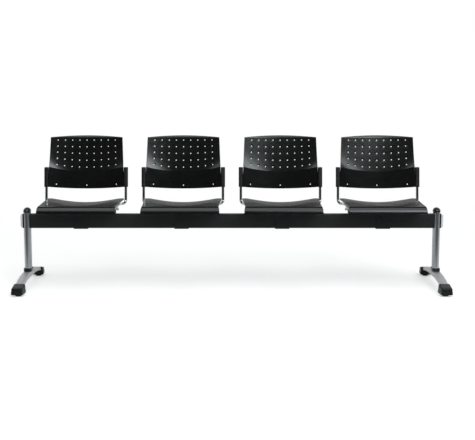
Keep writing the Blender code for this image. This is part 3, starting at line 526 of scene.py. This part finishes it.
def capLayers(low, high, sideways, outward):
    # plan outlines stacked upwards: a skirt round the glide, a leaning lip, a slot across the outer end,
    # drafted sides, and a rounded edge to a sloping top; the plan is a rounded rectangle that narrows
    # towards its outer end, mostly on the side that faces the middle of the bench
    hem = low.z - footCap["skirtDrop"]
    lip = low.z + footCap["lipHeight"]
    slotTop = lip + footCap["slotTall"]
    step = footCap["lipStep"]
    soft = footCap["footEdge"]
    wall = footCap["skirtWall"]
    turn = quarterTurn(footCap["roundSteps"])
    shrink = np.array(footCap["topShares"])
    sideIn = step + footCap["draft"]
    flat = np.array((low.z, hem, hem, hem + soft, lip - soft, lip, lip, slotTop, slotTop))
    slot = np.array((0.0, 0.0, 0.0, 0.0, 0.0, 0.0, 1.0, 1.0, 0.0)) * footCap["slotDeep"]
    inset = asColumn(np.concatenate((
        (wall, wall, soft, 0.0, step - soft, step, step, step, step),
        sideIn + footCap["topRound"] * (1.0 - np.cos(turn)),
        np.full(len(shrink), sideIn + footCap["topRound"]),
    )))
    scale = asColumn(np.concatenate((np.ones(len(flat) + len(turn)), shrink)))
    drop = asColumn(np.concatenate((footCap["topRound"] * (1.0 - np.sin(turn)), 0.0 * shrink)))
    halfLong = (high.y - low.y) / 2.0
    wide, long = roundedLoop(footCap["half"] - inset, halfLong - inset, footCap["corner"])
    # the mouth is flat: steps and rounding run along the sides and the outer end only
    atMouth = long <= footCap["corner"] + inset - halfLong + meshing["weld"]
    atMouth[:footCap["skirtRows"]] = False
    long = np.where(atMouth, -halfLong, long)
    # two more points on the outer edge, which the slot pushes in
    edge = wide.shape[1] // 4
    cheeks = (wide[:, edge - 1:edge] - footCap["cheek"], wide[:, edge:edge + 1] + footCap["cheek"])
    wide = np.concatenate((wide[:, :edge], *cheeks, wide[:, edge:]), axis=1)
    long = np.insert(long, (edge, edge), long[:, edge:edge + 1], axis=1)
    long[:len(flat), edge:edge + 2] -= slot[:, None]
    share = (1.0 + long * scale / halfLong) / 2.0
    taper = np.where(wide > 0.0, footCap["outerTaper"], footCap["innerTaper"])
    x = (low.x + high.x) / 2.0 + sideways * wide * scale * (1.0 - taper * share)
    y = (low.y + high.y) / 2.0 + outward * long * scale
    z = archTop(y) + footCap["mouthWall"] + (footCap["endWall"] - footCap["mouthWall"]) * share
    z[len(flat):] -= drop * (1.0 - footCap["roundFade"] * share[len(flat):])
    z[:len(flat)] = flat[:, None]
    rings = surface(x, y, z)
    return np.concatenate((lid(rings[:1])[:1], rings))


glide = {
    "padRadius": 0.017, "padCount": 48, "sole": 0.013, "foot": 0.0010, "soft": 0.0012, "height": 0.0155,
    "rim": 0.007, "rimShare": 0.4, "shoulder": 0.013, "shoulderShare": 0.3,
    "socket": 0.0043, "socketFloor": 0.003,
    "thread": 0.00125, "threadDepth": 0.0007, "threadSharp": 70.0, "stemCount": 20, "rowsPerTurn": 8,
}


def padProfile():
    # half section of a disc with a soft foot, an upright rim and a sloping shoulder round the stem
    radius, soft = glide["padRadius"], glide["soft"]
    return [
        (0.0, 0.0), (glide["sole"], 0.0), (radius - glide["foot"], 0.0),
        (radius, glide["foot"]), (radius, glide["rim"] - soft),
        (radius - glide["rimShare"] * soft, glide["rim"]),
        (glide["shoulder"] + glide["shoulderShare"] * soft, glide["height"] - soft),
        (glide["shoulder"] - soft, glide["height"]), (glide["socket"], glide["height"]),
        (glide["socket"], glide["socketFloor"]), (0.0, glide["socketFloor"]),
    ]


def stemRings(centre, low, high):
    # a rod whose radius falls and rises once in each pitch, shifted round the turn as a screw is
    rows = int((high.z - low.z) / glide["thread"] * glide["rowsPerTurn"])
    level = np.linspace(low.z, high.z, rows)[:, None]
    turn = fullTurn(glide["stemCount"])
    phase = level / glide["thread"] - turn / (2.0 * math.pi)
    cut = np.abs(2.0 * (phase - np.floor(phase)) - 1.0)
    radius = (high.x - low.x) / 2.0 - glide["threadDepth"] * cut
    return surface(centre[0] + radius * np.cos(turn), centre[1] + radius * np.sin(turn), level)


for side, sideways in sides.items():
    for end, outward in ends.items():
        place = f"{side}_{end}"
        layers = capLayers(*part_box(f"foot_cap_{place}"), sideways, outward)
        makePiece(f"footCap_{place}", [layers], textureFinish, [f"foot_cap_{place}"])
        heart = middle(f"glide_pad_{place}")
        heart[2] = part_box(f"glide_pad_{place}")[0].z
        pad = turned(padProfile(), heart, glide["padCount"])
        makePiece(f"glidePad_{place}", [pad], nylonFinish, [f"glide_pad_{place}"], f"glide_{place}")
        stem = closedEnds(stemRings(heart, *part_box(f"glide_stem_{place}")))
        makePiece(
            f"glideStem_{place}", [stem], zincFinish, [f"glide_stem_{place}"], f"glide_{place}",
            sharp=glide["threadSharp"],
        )
print("feet and glides made")

# Seat shells
seat = {
    "width": 0.430, "flare": 0.007, "front": -0.215, "rear": 0.205, "level": 0.4714,
    "wall": 0.005, "edge": 0.0016, "levelRows": 52, "columns": 61,
    "dish": 0.0215, "dishSpan": 0.887, "dishPower": 1.2, "dishBow": 6.4, "dishEase": 1.15,
    "lipRadius": 0.040, "lipSkirt": (0.006, 0.0036), "lipSweep": math.radians(80.0), "lipRows": 16,
    "shoulder": 0.006, "rimDrop": 0.006, "rimShare": 0.985, "rimColumns": 6,
    "bossX": 0.120, "bossY": 0.045, "bossRadius": 0.008, "bossEdge": 0.0008, "bossGap": 0.0003,
    "bossFlare": ((0.0, -0.006), (0.0012, -0.003), (0.004, 0.0)),  # growth and height at its head
    "bossSunk": 0.003,
}


def seatRun(y):
    # share of the way back from the front lip
    start = seat["front"] + seat["lipRadius"]
    return np.clip((y - start) / (seat["rear"] - start), 0.0, 1.0)


def seatDip(x, y):
    # depth of the dish: a slope towards the back that starts at the lip in the middle and further back
    # at the sides, times a bowl across the width
    start = seat["front"] + seat["lipRadius"] + seat["dishBow"] * x**2
    run = np.clip((y - start) / (seat["rear"] - start), 0.0, 1.0) ** seat["dishEase"]
    half = seat["width"] / 2.0 - seat["shoulder"] + (seat["shoulder"] + seat["flare"]) * seatRun(y)
    across = np.maximum(0.0, 1.0 - (x / (seat["dishSpan"] * half)) ** 2) ** seat["dishPower"]
    return seat["dish"] * run * across


def seatSheet():
    # rows climb a short skirt, turn over the front lip on an arc and run level to the back; the lip is
    # drawn in by a shoulder as it turns over; columns run across, with a quarter ellipse down at each
    # side rim; the dish is taken off the height
    turn = np.linspace(seat["lipSweep"], 0.0, seat["lipRows"])
    lipY = seat["front"] + seat["lipRadius"] * (1.0 - np.sin(turn))
    lipZ = seat["level"] - seat["lipRadius"] * (1.0 - np.cos(turn))
    skirt = np.array(seat["lipSkirt"])
    levelY = np.linspace(lipY[-1], seat["rear"], seat["levelRows"])[1:]
    rowY = np.concatenate((lipY[0] - skirt * math.cos(seat["lipSweep"]), lipY, levelY))
    rowZ = np.concatenate((lipZ[0] - skirt * math.sin(seat["lipSweep"]), lipZ, 0.0 * levelY + seat["level"]))
    bend = quarterTurn(seat["rimColumns"])
    share = seat["rimShare"] + (1.0 - seat["rimShare"]) * np.sin(bend)
    drop = seat["rimDrop"] * (1.0 - np.cos(bend))
    inner = np.linspace(-seat["rimShare"], seat["rimShare"], seat["columns"])[1:-1]
    across = np.concatenate((-share[::-1], inner, share))
    fall = np.concatenate((drop[::-1], 0.0 * inner, drop))
    drawIn = np.concatenate((0.0 * skirt, 1.0 - np.sin(turn), 1.0 - seatRun(levelY)))
    half = seat["width"] / 2.0 + seat["flare"] * seatRun(rowY) - seat["shoulder"] * drawIn
    x = across * half[:, None]
    y = rowY[:, None]
    return surface(x, y, rowZ[:, None] - fall - seatDip(x, y))


def bossProfile(x, y, low):
    # half section of a post from the cross plate up into the shell, flared where the two meet
    under = float(seat["level"] - seatDip(x, y) - seat["bossSunk"])
    radius, soft = seat["bossRadius"], seat["bossEdge"]
    flare = [(radius + growth, under + height) for growth, height in seat["bossFlare"]]
    return [(0.0, low), (radius - soft, low), (radius, low + soft), *flare, (0.0, under)]


# Seat frames
seatFrame = {
    "radius": 0.008, "railLevel": 0.4414, "lean": math.radians(8.0), "top": 0.6386,
    "uprightX": 0.230, "uprightY": 0.215, "uprightBend": 0.024,
    "kneeX": 0.196, "kneeY": 0.172, "kneeBend": 0.055,
    "frontX": 0.188, "frontY": -0.160, "frontBend": 0.045,
    "plateTop": 0.4346, "plateWall": 0.004, "plateEdge": 0.0006, "plateHalf": 0.070, "plateReach": 0.204,
    "plateFlange": 0.016, "plateBend": 0.006, "plateBendSteps": 6,
    "plateRows": (0.003, 5),  # border and number
}


def uprightY(z):
    # place of the leaning upright at a height
    return seatFrame["uprightY"] + (z - seatFrame["railLevel"]) * math.tan(seatFrame["lean"])


def framePath():
    # from the head of one upright down, round the rear corner, along the rail, and across the front
    level = seatFrame["railLevel"]
    corners = np.array((
        (seatFrame["uprightX"], uprightY(seatFrame["top"]), seatFrame["top"]),
        (seatFrame["uprightX"], seatFrame["uprightY"], level),
        (seatFrame["kneeX"], seatFrame["kneeY"], level),
        (seatFrame["frontX"], seatFrame["frontY"], level),
        (-seatFrame["frontX"], seatFrame["frontY"], level),
    ))
    bends = (seatFrame["uprightBend"], seatFrame["kneeBend"], seatFrame["frontBend"])
    half = bentPath(corners, bends)[:-1]
    return np.concatenate((half, half[::-1] * (-1.0, 1.0, 1.0)))


def channelSheet(x, half, web, rim, bend, steps):
    # a pressed channel along x: from one rim to the web, across it and back to the other rim, round a
    # bend at each corner
    corners = np.array(((0.0, -half, rim), (0.0, -half, web), (0.0, half, web), (0.0, half, rim)))
    section = bentPath(corners, (bend, bend), steps)
    return surface(x, section[:, 1:2], section[:, 2:3])


# Backrests
back = {
    "wall": 0.005, "edge": 0.0006, "foot": 0.5359, "sag": 0.012, "halfLow": 0.2196, "halfTop": 0.2081,
    "set": 0.006, "hollow": 0.030,
    "creaseLevel": 0.6519, "creaseSag": 0.030, "creaseStep": 0.012, "creaseFade": 0.040,
    "line": 0.8189, "upperLean": math.radians(11.0), "archCorner": 0.002, "archRise": 0.0095, "roll": 0.012,
    "hole": 0.0053, "holeCorner": 0.0009, "holeColumns": 9, "holeSpan": 0.794,
    "holeRows": (0.87, 0.67, 0.47, 0.275, 0.08), "lowLift": 0.0195, "lowColumns": (0, 4, 8),
    # columns in the side margins and between holes, then rows from the foot up, in metres or as shares
    "marginShares": (0.0, 0.035, 0.15, 0.32, 0.5, 0.68, 0.84), "cellsBetween": 6,
    "footRows": (0.0, 0.0016, 0.006, 0.010),
    "bandShares": (0.10, 0.22, 0.34, 0.46, 0.58, 0.70, 0.80, 0.88, 0.94, 0.98, 1.0),
    "creaseRows": (0.0014, 0.003, 0.0055, 0.009, 0.013),
    "firstGapShares": (0.5,), "gapShares": (0.25, 0.5, 0.75),
    "headShares": (0.35, 0.7, 1.0), "archShares": (0.25, 0.5, 0.75, 0.9, 1.0),
    "noHole": -1, "farAway": 9.0, "near": 1e-3,
}


def backShares():
    # places across the panel, four cells over each hole and even cells between; also each place's
    # distance from its nearest hole's middle, in half holes, and the number of that hole
    half = back["hole"] / (back["halfLow"] + back["halfTop"])
    inside = np.array((-1.0, -1.0 + 2.0 * back["holeCorner"] / back["hole"], 0.0)) * half
    inside = np.concatenate((inside, -inside[1::-1]))
    centres = back["holeSpan"] * np.linspace(-1.0, 1.0, back["holeColumns"])
    border = np.array(back["marginShares"]) * (1.0 - back["holeSpan"] - half)
    gaps = np.linspace(0.0, 1.0, back["cellsBetween"] + 1)[1:-1]
    gaps = gaps * (centres[1] - centres[0] - 2.0 * half) + half
    holes = centres[:, None] + inside
    between = centres[:-1, None] + gaps
    share = np.sort(np.concatenate((border - 1.0, 1.0 - border, holes.ravel(), between.ravel())))
    number = np.argmin(np.abs(share[:, None] - centres), axis=1)
    return share, (share - centres[number]) / half, number


def backRows(share):
    # heights of the rows at each place across, from the bowed foot through the crease to the arched top;
    # also each row's row of holes and its distance from their middles, in half holes
    bow = 1.0 - share**2
    fold = back["creaseLevel"] - back["creaseSag"] * bow
    crest = back["line"] + back["archCorner"] + back["archRise"] * bow
    hem = back["foot"] - back["sag"] * bow
    half = back["hole"] / 2.0
    corner = back["holeCorner"]
    plain = (back["noHole"], back["farAway"])
    rows = [(hem + lift, *plain) for lift in back["footRows"]]

    def climb(target, shares):
        # rows at shares of the way from the last row to a target
        start = rows[-1][0]
        rows.extend([(start + (target - start) * part, *plain) for part in shares])

    def pierce(centre, number):
        # rows over a row of holes, closer together at their rounded corners
        inside = (-half, corner - half, 0.0, half - corner, half)
        rows.extend([(centre + offset, number, offset / half) for offset in inside])

    pierce(hem + back["lowLift"], 0)
    climb(fold, back["bandShares"])
    rows.extend([(fold + step, *plain) for step in back["creaseRows"]])
    for number, drop in enumerate(back["holeRows"], start=1):
        centre = back["line"] - drop * (back["line"] - fold)
        climb(centre - half, back["gapShares"] if number > 1 else back["firstGapShares"])
        pierce(centre, number)
    climb(back["line"], back["headShares"])
    climb(crest, back["archShares"])
    return [np.array(values) for values in zip(*rows)]


def backSheet():
    # depth of the front face: the lean of the uprights up to the crease, a hollow across, then the upper
    # lean, a step that grows towards the sides and fades in above the crease, and a roll at the top edge
    share, inColumn, holeColumn = backShares()
    z, holeRow, inRow = backRows(share)
    hasHole = (holeRow[:, None] > 0) | np.isin(holeColumn, back["lowColumns"])
    # the corner point of each hole slides in to the middle of its quarter circle
    onRow = np.abs(np.abs(inRow) - 1.0) < back["near"]
    onColumn = np.abs(np.abs(inColumn) - 1.0) < back["near"]
    atCorner = onRow[:, None] & onColumn & hasHole
    slide = np.where(atCorner, back["holeCorner"] * (1.0 - math.sqrt(0.5)), 0.0)
    halfMean = (back["halfLow"] + back["halfTop"]) / 2.0
    xi = share - np.sign(inColumn) * slide / halfMean
    z = z - np.sign(inRow)[:, None] * slide
    fold = back["creaseLevel"] - back["creaseSag"] * (1.0 - xi**2)
    rise = np.maximum(0.0, z - fold)
    roll = np.maximum(0.0, z - back["line"])
    y = uprightY(np.minimum(z, fold)) - back["set"] + back["hollow"] * (1.0 - xi**2)
    y = y + rise * math.tan(back["upperLean"]) + roll**2 / (2.0 * back["roll"])
    y = y + back["creaseStep"] * xi**2 * (1.0 - np.exp(-rise / back["creaseFade"]))
    hem = back["foot"] - back["sag"]
    taper = np.minimum(1.0, (z - hem) / (back["line"] - hem))
    x = xi * (back["halfLow"] + (back["halfTop"] - back["halfLow"]) * taper)
    cellRow = (holeRow[:-1] >= 0) & (holeRow[:-1] == holeRow[1:])
    overHole = np.abs(inColumn) < 1.0 + back["near"]
    cellColumn = overHole[:-1] & overHole[1:]
    return surface(x, y, z), ~(cellRow[:, None] & cellColumn & hasHole[:-1, :-1])


sleeve = {
    "halfWide": 0.0124, "halfDeep": 0.014, "foot": 0.5359, "top": 0.6489, "neck": 0.003,
    "round": 0.008, "roundLeast": 0.001, "soft": 0.0030, "softSteps": 7, "footSoft": 0.0009,
    "bore": 0.0083, "boreDepth": 0.016,
}


def sleeveRings():
    # up the outside of a leaning rounded block from its socket: out of the bore, over the foot, up the
    # sides, then in over a quarter-circle shoulder to the middle of the top
    bend = quarterTurn(sleeve["softSteps"])
    soft = sleeve["soft"]
    hem = sleeve["foot"]
    inset = asColumn(np.concatenate(((sleeve["footSoft"], 0.0, 0.0), soft * (1.0 - np.cos(bend)))))
    level = np.concatenate((
        (hem, hem + sleeve["footSoft"], sleeve["top"] - soft - sleeve["neck"]),
        sleeve["top"] - soft * (1.0 - np.sin(bend)),
    ))
    corner = np.maximum(sleeve["round"] - inset, sleeve["roundLeast"])
    wide, deep = roundedLoop(sleeve["halfWide"] - inset, sleeve["halfDeep"] - inset, corner)
    outside = surface(wide, deep, level[:, None])
    facing = np.arctan2(outside[0, :, 1], outside[0, :, 0])
    boreLevel = asColumn((sleeve["boreDepth"], 0.0)) + hem
    inside = surface(sleeve["bore"] * np.cos(facing), sleeve["bore"] * np.sin(facing), boreLevel)
    rings = closedEnds(np.concatenate((inside, outside)))
    rings[..., 1] += uprightY(rings[..., 2])
    return rings


# Clamps on the beam
clamp = {
    "halfWide": 0.040, "gap": 0.0003, "wall": 0.004, "edge": 0.0006, "bend": 0.0055, "bendSteps": 8,
    "rows": (0.002, 3),  # border and number
    "strapShort": 0.002, "saddleWall": 0.004, "saddleCorner": 0.0015,
    "boltHead": 0.0075, "headHeight": 0.0055, "headFlat": 0.92, "headCone": 1.01, "headChamfer": 0.0009,
    "boltRadius": 0.004, "boltTip": 0.002, "tipStart": 0.7, "tipShare": 0.8,
    "washer": 0.0012, "washerRadius": 0.0088, "around": 48,
}


def strapSheet(centre, top):
    # a strap bent round three sides of the beam: down its back, under it and up its front
    out = beamHigh.y + clamp["gap"] + clamp["wall"]
    low = beamLow.z - clamp["gap"] - clamp["wall"]
    x = centre + borderedSpan(-clamp["halfWide"], clamp["halfWide"], *clamp["rows"])
    return channelSheet(x, -out, low, top, clamp["bend"], clamp["bendSteps"])


def saddleRings(low, high):
    # a short length of rectangular tube: out along its outside and back along its bore
    wall = clamp["saddleWall"]
    along = (low.x, low.x, high.x, high.x, low.x)
    return boxRings(low, high, along, (wall, 0.0, 0.0, wall, wall), clamp["saddleCorner"])


def boltRings(centre, reach):
    # radius is the lesser of a hexagon and a cone, so that the head and nut have chamfered corners
    turn = fullTurn(clamp["around"])
    sector = np.mod(turn + math.pi / 6.0, math.pi / 3.0) - math.pi / 6.0
    flat = clamp["boltHead"] * math.cos(math.pi / 6.0)
    hexagon = flat / np.cos(sector)
    cone = clamp["boltHead"] * clamp["headCone"]
    worn = flat * clamp["headFlat"]
    disc = clamp["washerRadius"]
    rod = clamp["boltRadius"]
    tip = clamp["boltTip"]
    end = reach + clamp["headHeight"]
    seatAt = reach + clamp["washer"]
    crest = end - clamp["headChamfer"]
    rows = np.array((
        (-end, worn), (-crest, cone), (-seatAt, cone), (-seatAt, disc), (-reach, disc), (-reach, rod),
        (reach, rod), (reach, disc), (seatAt, disc), (seatAt, cone), (crest, cone), (end, worn),
        (end, rod), (end + tip * clamp["tipStart"], rod), (end + tip, rod * clamp["tipShare"]),
    ))
    along, radius = rows[:, :1], rows[:, 1:]
    radius = np.where(radius == cone, np.minimum(hexagon, radius), radius)
    return surface(centre[0] + radius * np.cos(turn), along, centre[2] + radius * np.sin(turn))


# Seats along the beam
seatPoints = seatSheet()
tubeRings = closedEnds(sweptTube(framePath(), seatFrame["radius"]))
platePoints = channelSheet(
    borderedSpan(-seatFrame["plateReach"], seatFrame["plateReach"], *seatFrame["plateRows"]),
    seatFrame["plateHalf"], seatFrame["plateTop"], seatFrame["plateTop"] - seatFrame["plateFlange"],
    seatFrame["plateBend"], seatFrame["plateBendSteps"],
)
backPoints, backKept = backSheet()
sleevePoints = sleeveRings()
bossFoot = seatFrame["plateTop"] + seat["bossGap"]
bossPlaces = [(x, y) for x in (-seat["bossX"], seat["bossX"]) for y in (-seat["bossY"], seat["bossY"])]
boltReach = beamHigh.y + clamp["wall"] + 2.0 * clamp["gap"]
for number in seatNumbers:
    shift = np.array((middle(f"seat_shell_{number}")[0], 0.0, 0.0))
    makePiece(
        f"dishedSeat_{number}", [seatPoints + shift], plasticFinish, [f"seat_shell_{number}"],
        wrapped=False, wall=seat["wall"], edge=seat["edge"],
    )
    bosses = [turned(bossProfile(x, y, bossFoot), shift + (x, y, 0.0)) for x, y in bossPlaces]
    makePiece(f"seatBosses_{number}", bosses, plasticFinish)
    makePiece(
        f"perforatedBack_{number}", [backPoints + shift], plasticFinish, [f"backrest_{number}"],
        wrapped=False, kept=backKept, wall=back["wall"], edge=back["edge"],
    )
    for side, sign in sides.items():
        place = shift + (sign * seatFrame["uprightX"], 0.0, 0.0)
        makePiece(f"backSleeve_{number}_{side}", [sleevePoints + place], sleeveFinish)
    makePiece(f"bentTube_{number}", [tubeRings + shift], chromeFinish, [f"seat_frame_{number}"])
    makePiece(
        f"crossPlate_{number}", [platePoints + shift], chromeFinish,
        wrapped=False, wall=seatFrame["plateWall"], edge=seatFrame["plateEdge"],
    )
    saddleLow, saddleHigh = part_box(f"beam_saddle_{number}")
    saddle = saddleRings(saddleLow, saddleHigh)
    makePiece(f"beamSaddle_{number}", [saddle], coatFinish, [f"beam_saddle_{number}"])
    strap = strapSheet(shift[0], saddleHigh.z - clamp["strapShort"])
    makePiece(
        f"clampStrap_{number}", [strap], coatFinish, [f"clamp_strap_{number}"],
        wrapped=False, wall=clamp["wall"], edge=clamp["edge"],
    )
    for side in sides:
        bolt = closedEnds(boltRings(middle(f"clamp_bolt_{number}_{side}"), boltReach))
        makePiece(f"clampBolt_{number}_{side}", [bolt], zincFinish, [f"clamp_bolt_{number}_{side}"])
print("seats made")

# CAD nodes that stay, hidden in the columns
for side in sides:
    for node in ("clamp_block", "clamp_rod", "clamp_nut"):
        frame["nodes"][f"{node}_{side}"].material_slots[0].material = zincFinish

# Floor, light and camera
stage = {
    "floorRadius": 150.0, "floorColour": "#fbfbfb", "floorGlow": 0.45, "fadeFrom": 1.4, "fadeTo": 3.4,
    "lampColour": "#f5feff", "ambient": 0.68, "clothRough": 0.9,
    "flagColour": "#3a3a3a", "flagRadius": 9.0, "flagLift": 0.02, "flagReach": math.radians(114.0),
    "flagBack": math.radians(45.0), "flagRings": 16, "flagCount": 73,
    "clothColour": "#3c3c3c", "paleClothColour": "#e2e2e2", "clothFrom": 0.60, "clothTo": 8.5,
    "clothLevel": 0.001, "screenColour": "#9a9a9a", "upperScreenColour": "#484848", "screenAway": 8.0,
    "screenFoot": 0.02, "screenSplit": 1.28, "screenTop": 2.2,
}


def seenRays(tree):
    # one for rays that see the stage, straight or in a reflection, and nought for those that light it
    rays = addNode(tree, "ShaderNodeLightPath")
    seen = (rays, "Is Camera Ray")
    for kind in ("Is Glossy Ray", "Is Transmission Ray"):
        most = addNode(tree, "ShaderNodeMath", {"operation": "MAXIMUM"}, {0: seen, 1: (rays, kind)})
        seen = (most, "Value")
    return seen


def floorFinish():
    # matt white painted floor that pales to the white of the background away from the object
    material = bpy.data.materials.new("mattWhiteFloor")
    material.use_nodes = True
    tree = material.node_tree
    tree.nodes.clear()
    coords = addNode(tree, "ShaderNodeTexCoord")
    distance = addNode(tree, "ShaderNodeVectorMath", {"operation": "LENGTH"}, {0: (coords, "Object")})
    fading = {
        "interpolation_type": "SMOOTHSTEP",
        "From Min": stage["fadeFrom"],
        "From Max": stage["fadeTo"],
        "To Min": stage["floorGlow"],
    }
    fade = addNode(tree, "ShaderNodeMapRange", fading, {"Value": (distance, "Value")})
    factors = {0: (fade, "Result"), 1: seenRays(tree)}
    amount = addNode(tree, "ShaderNodeMath", {"operation": "MULTIPLY"}, factors)
    paint = addNode(tree, "ShaderNodeBsdfDiffuse", {"Color": linearColour(stage["floorColour"])})
    glow = addNode(tree, "ShaderNodeEmission", {"Strength": 1.0})
    parts = {0: (amount, "Value"), 1: (paint, "BSDF"), 2: (glow, "Emission")}
    mixed = addNode(tree, "ShaderNodeMixShader", None, parts)
    # the floor is clear from below, so that the underside can be looked at
    side = addNode(tree, "ShaderNodeNewGeometry")
    clear = addNode(tree, "ShaderNodeBsdfTransparent")
    parts = {0: (side, "Backfacing"), 1: (mixed, "Shader"), 2: (clear, "BSDF")}
    both = addNode(tree, "ShaderNodeMixShader", None, parts)
    addNode(tree, "ShaderNodeOutputMaterial", None, {"Surface": (both, "Shader")})
    return material


def stagePanel(name, points, material):
    # a plain sheet of the stage
    mesh = bpy.data.meshes.new(name)
    mesh.from_pydata(points.reshape(-1, 3).tolist(), [], gridQuads(points, False, None).tolist())
    panel = addObject(name, mesh)
    panel.data.materials.append(material)
    return panel


def clothPanel(name, points, clothName, colour):
    # dull studio cloth, met only in reflections: it neither shows nor shades anything
    values = {"Base Color": linearColour(colour), "Roughness": stage["clothRough"]}
    panel = stagePanel(name, points, newFinish(clothName, None, values)[0])
    panel.visible_camera = False
    panel.visible_diffuse = False
    panel.visible_shadow = False
    panel.visible_transmission = False


span = np.array((-stage["floorRadius"], stage["floorRadius"]))
stagePanel("floor", surface(span, span[:, None], 0.0), floorFinish())

# dark dome over the set: a sphere whose foot is on the floor in front and lifted behind
turn = np.linspace(-math.pi, math.pi, stage["flagCount"])
domeFoot = np.where(np.abs(turn) < stage["flagReach"], 0.0, stage["flagBack"])
climb = domeFoot + (math.pi / 2.0 - domeFoot) * np.linspace(0.0, 1.0, stage["flagRings"])[:, None]
dome = surface(
    stage["flagRadius"] * np.cos(climb) * np.sin(turn),
    -stage["flagRadius"] * np.cos(climb) * np.cos(turn),
    stage["flagLift"] + stage["flagRadius"] * np.sin(climb),
)
clothPanel("darkDome", dome, "blackFlagCloth", stage["flagColour"])
# cloths on the floor, and a screen behind the set: its pale lower band shows in the dish of the seats,
# its dark upper band before it
span = np.array((-stage["clothTo"], stage["clothTo"]))
for name, colour, y, z in (
    ("floorCloth", "clothColour", (-stage["clothFrom"], -stage["clothTo"]), stage["clothLevel"]),
    ("paleCloth", "paleClothColour", (-stage["clothFrom"], stage["clothTo"]), stage["clothLevel"]),
    ("backScreen", "screenColour", stage["screenAway"], (stage["screenFoot"], stage["screenSplit"])),
    ("upperScreen", "upperScreenColour", stage["screenAway"], (stage["screenSplit"], stage["screenTop"])),
):
    clothPanel(name, surface(span, asColumn(y), asColumn(z)), name, stage[colour])

world = bpy.data.worlds.new("whiteStudio")
world.use_nodes = True
bpy.context.scene.world = world
worldTree = world.node_tree
worldTree.nodes.clear()
brightness = {"To Min": stage["ambient"], "To Max": 1.0}
level = addNode(worldTree, "ShaderNodeMapRange", brightness, {"Value": seenRays(worldTree)})
white = {"Color": linearColour("#ffffff")}
sky = addNode(worldTree, "ShaderNodeBackground", white, {"Strength": (level, "Result")})
addNode(worldTree, "ShaderNodeOutputWorld", None, {"Surface": (sky, "Background")})

# name: place, target, size and radiance
softboxes = {
    "overheadSoftbox": ((0.0, -1.3, 3.55), (0.0, -0.2, 0.46), (4.4, 3.5), 2.0),
    "keySoftbox": ((3.05, -5.26, 4.75), (0.0, 0.2, 0.6), (3.8, 2.8), 6.5),
    "fillSoftbox": ((-4.3, -4.0, 5.3), (0.0, 0.2, 0.6), (3.0, 2.0), 1.2),
}
for name, (place, target, (wide, tall), radiance) in softboxes.items():
    # a rectangular lamp; its power is its radiance times pi times its area
    lamp = bpy.data.lights.new(name, "AREA")
    lamp.shape = "RECTANGLE"
    lamp.size = wide
    lamp.size_y = tall
    lamp.energy = radiance * math.pi * wide * tall
    lamp.color = linearColour(stage["lampColour"])[:3]
    holder = addObject(name, lamp)
    holder.location = place
    holder.rotation_euler = Vector(np.subtract(target, place)).to_track_quat("-Z", "Y").to_euler()

# the overhead lamp is flagged off the chromed tubes, which would mirror it as a white spot
flagged = bpy.data.collections.new("flaggedTubes")
for number in seatNumbers:
    flagged.objects.link(bpy.data.objects[f"bentTube_{number}"])
bpy.data.objects["overheadSoftbox"].light_linking.receiver_collection = flagged
for entry in flagged.collection_objects:
    entry.light_linking.link_state = "EXCLUDE"

camera = {
    "place": (0.0, -5.9647, 1.1561), "pitch": 7.4926, "lens": 81.21, "sensor": 36.0, "shiftX": 0.01184,
}
cameraData = bpy.data.cameras.new("camera")
cameraData.sensor_fit = "HORIZONTAL"
cameraData.sensor_width = camera["sensor"]
cameraData.lens = camera["lens"]
cameraData.shift_x = camera["shiftX"]
cameraObject = addObject("camera", cameraData)
cameraObject.location = camera["place"]
cameraObject.rotation_euler = (math.radians(90.0 - camera["pitch"]), 0.0, 0.0)
bpy.context.scene.camera = cameraObject
bpy.context.scene.view_settings.view_transform = "Standard"
print("stage made")
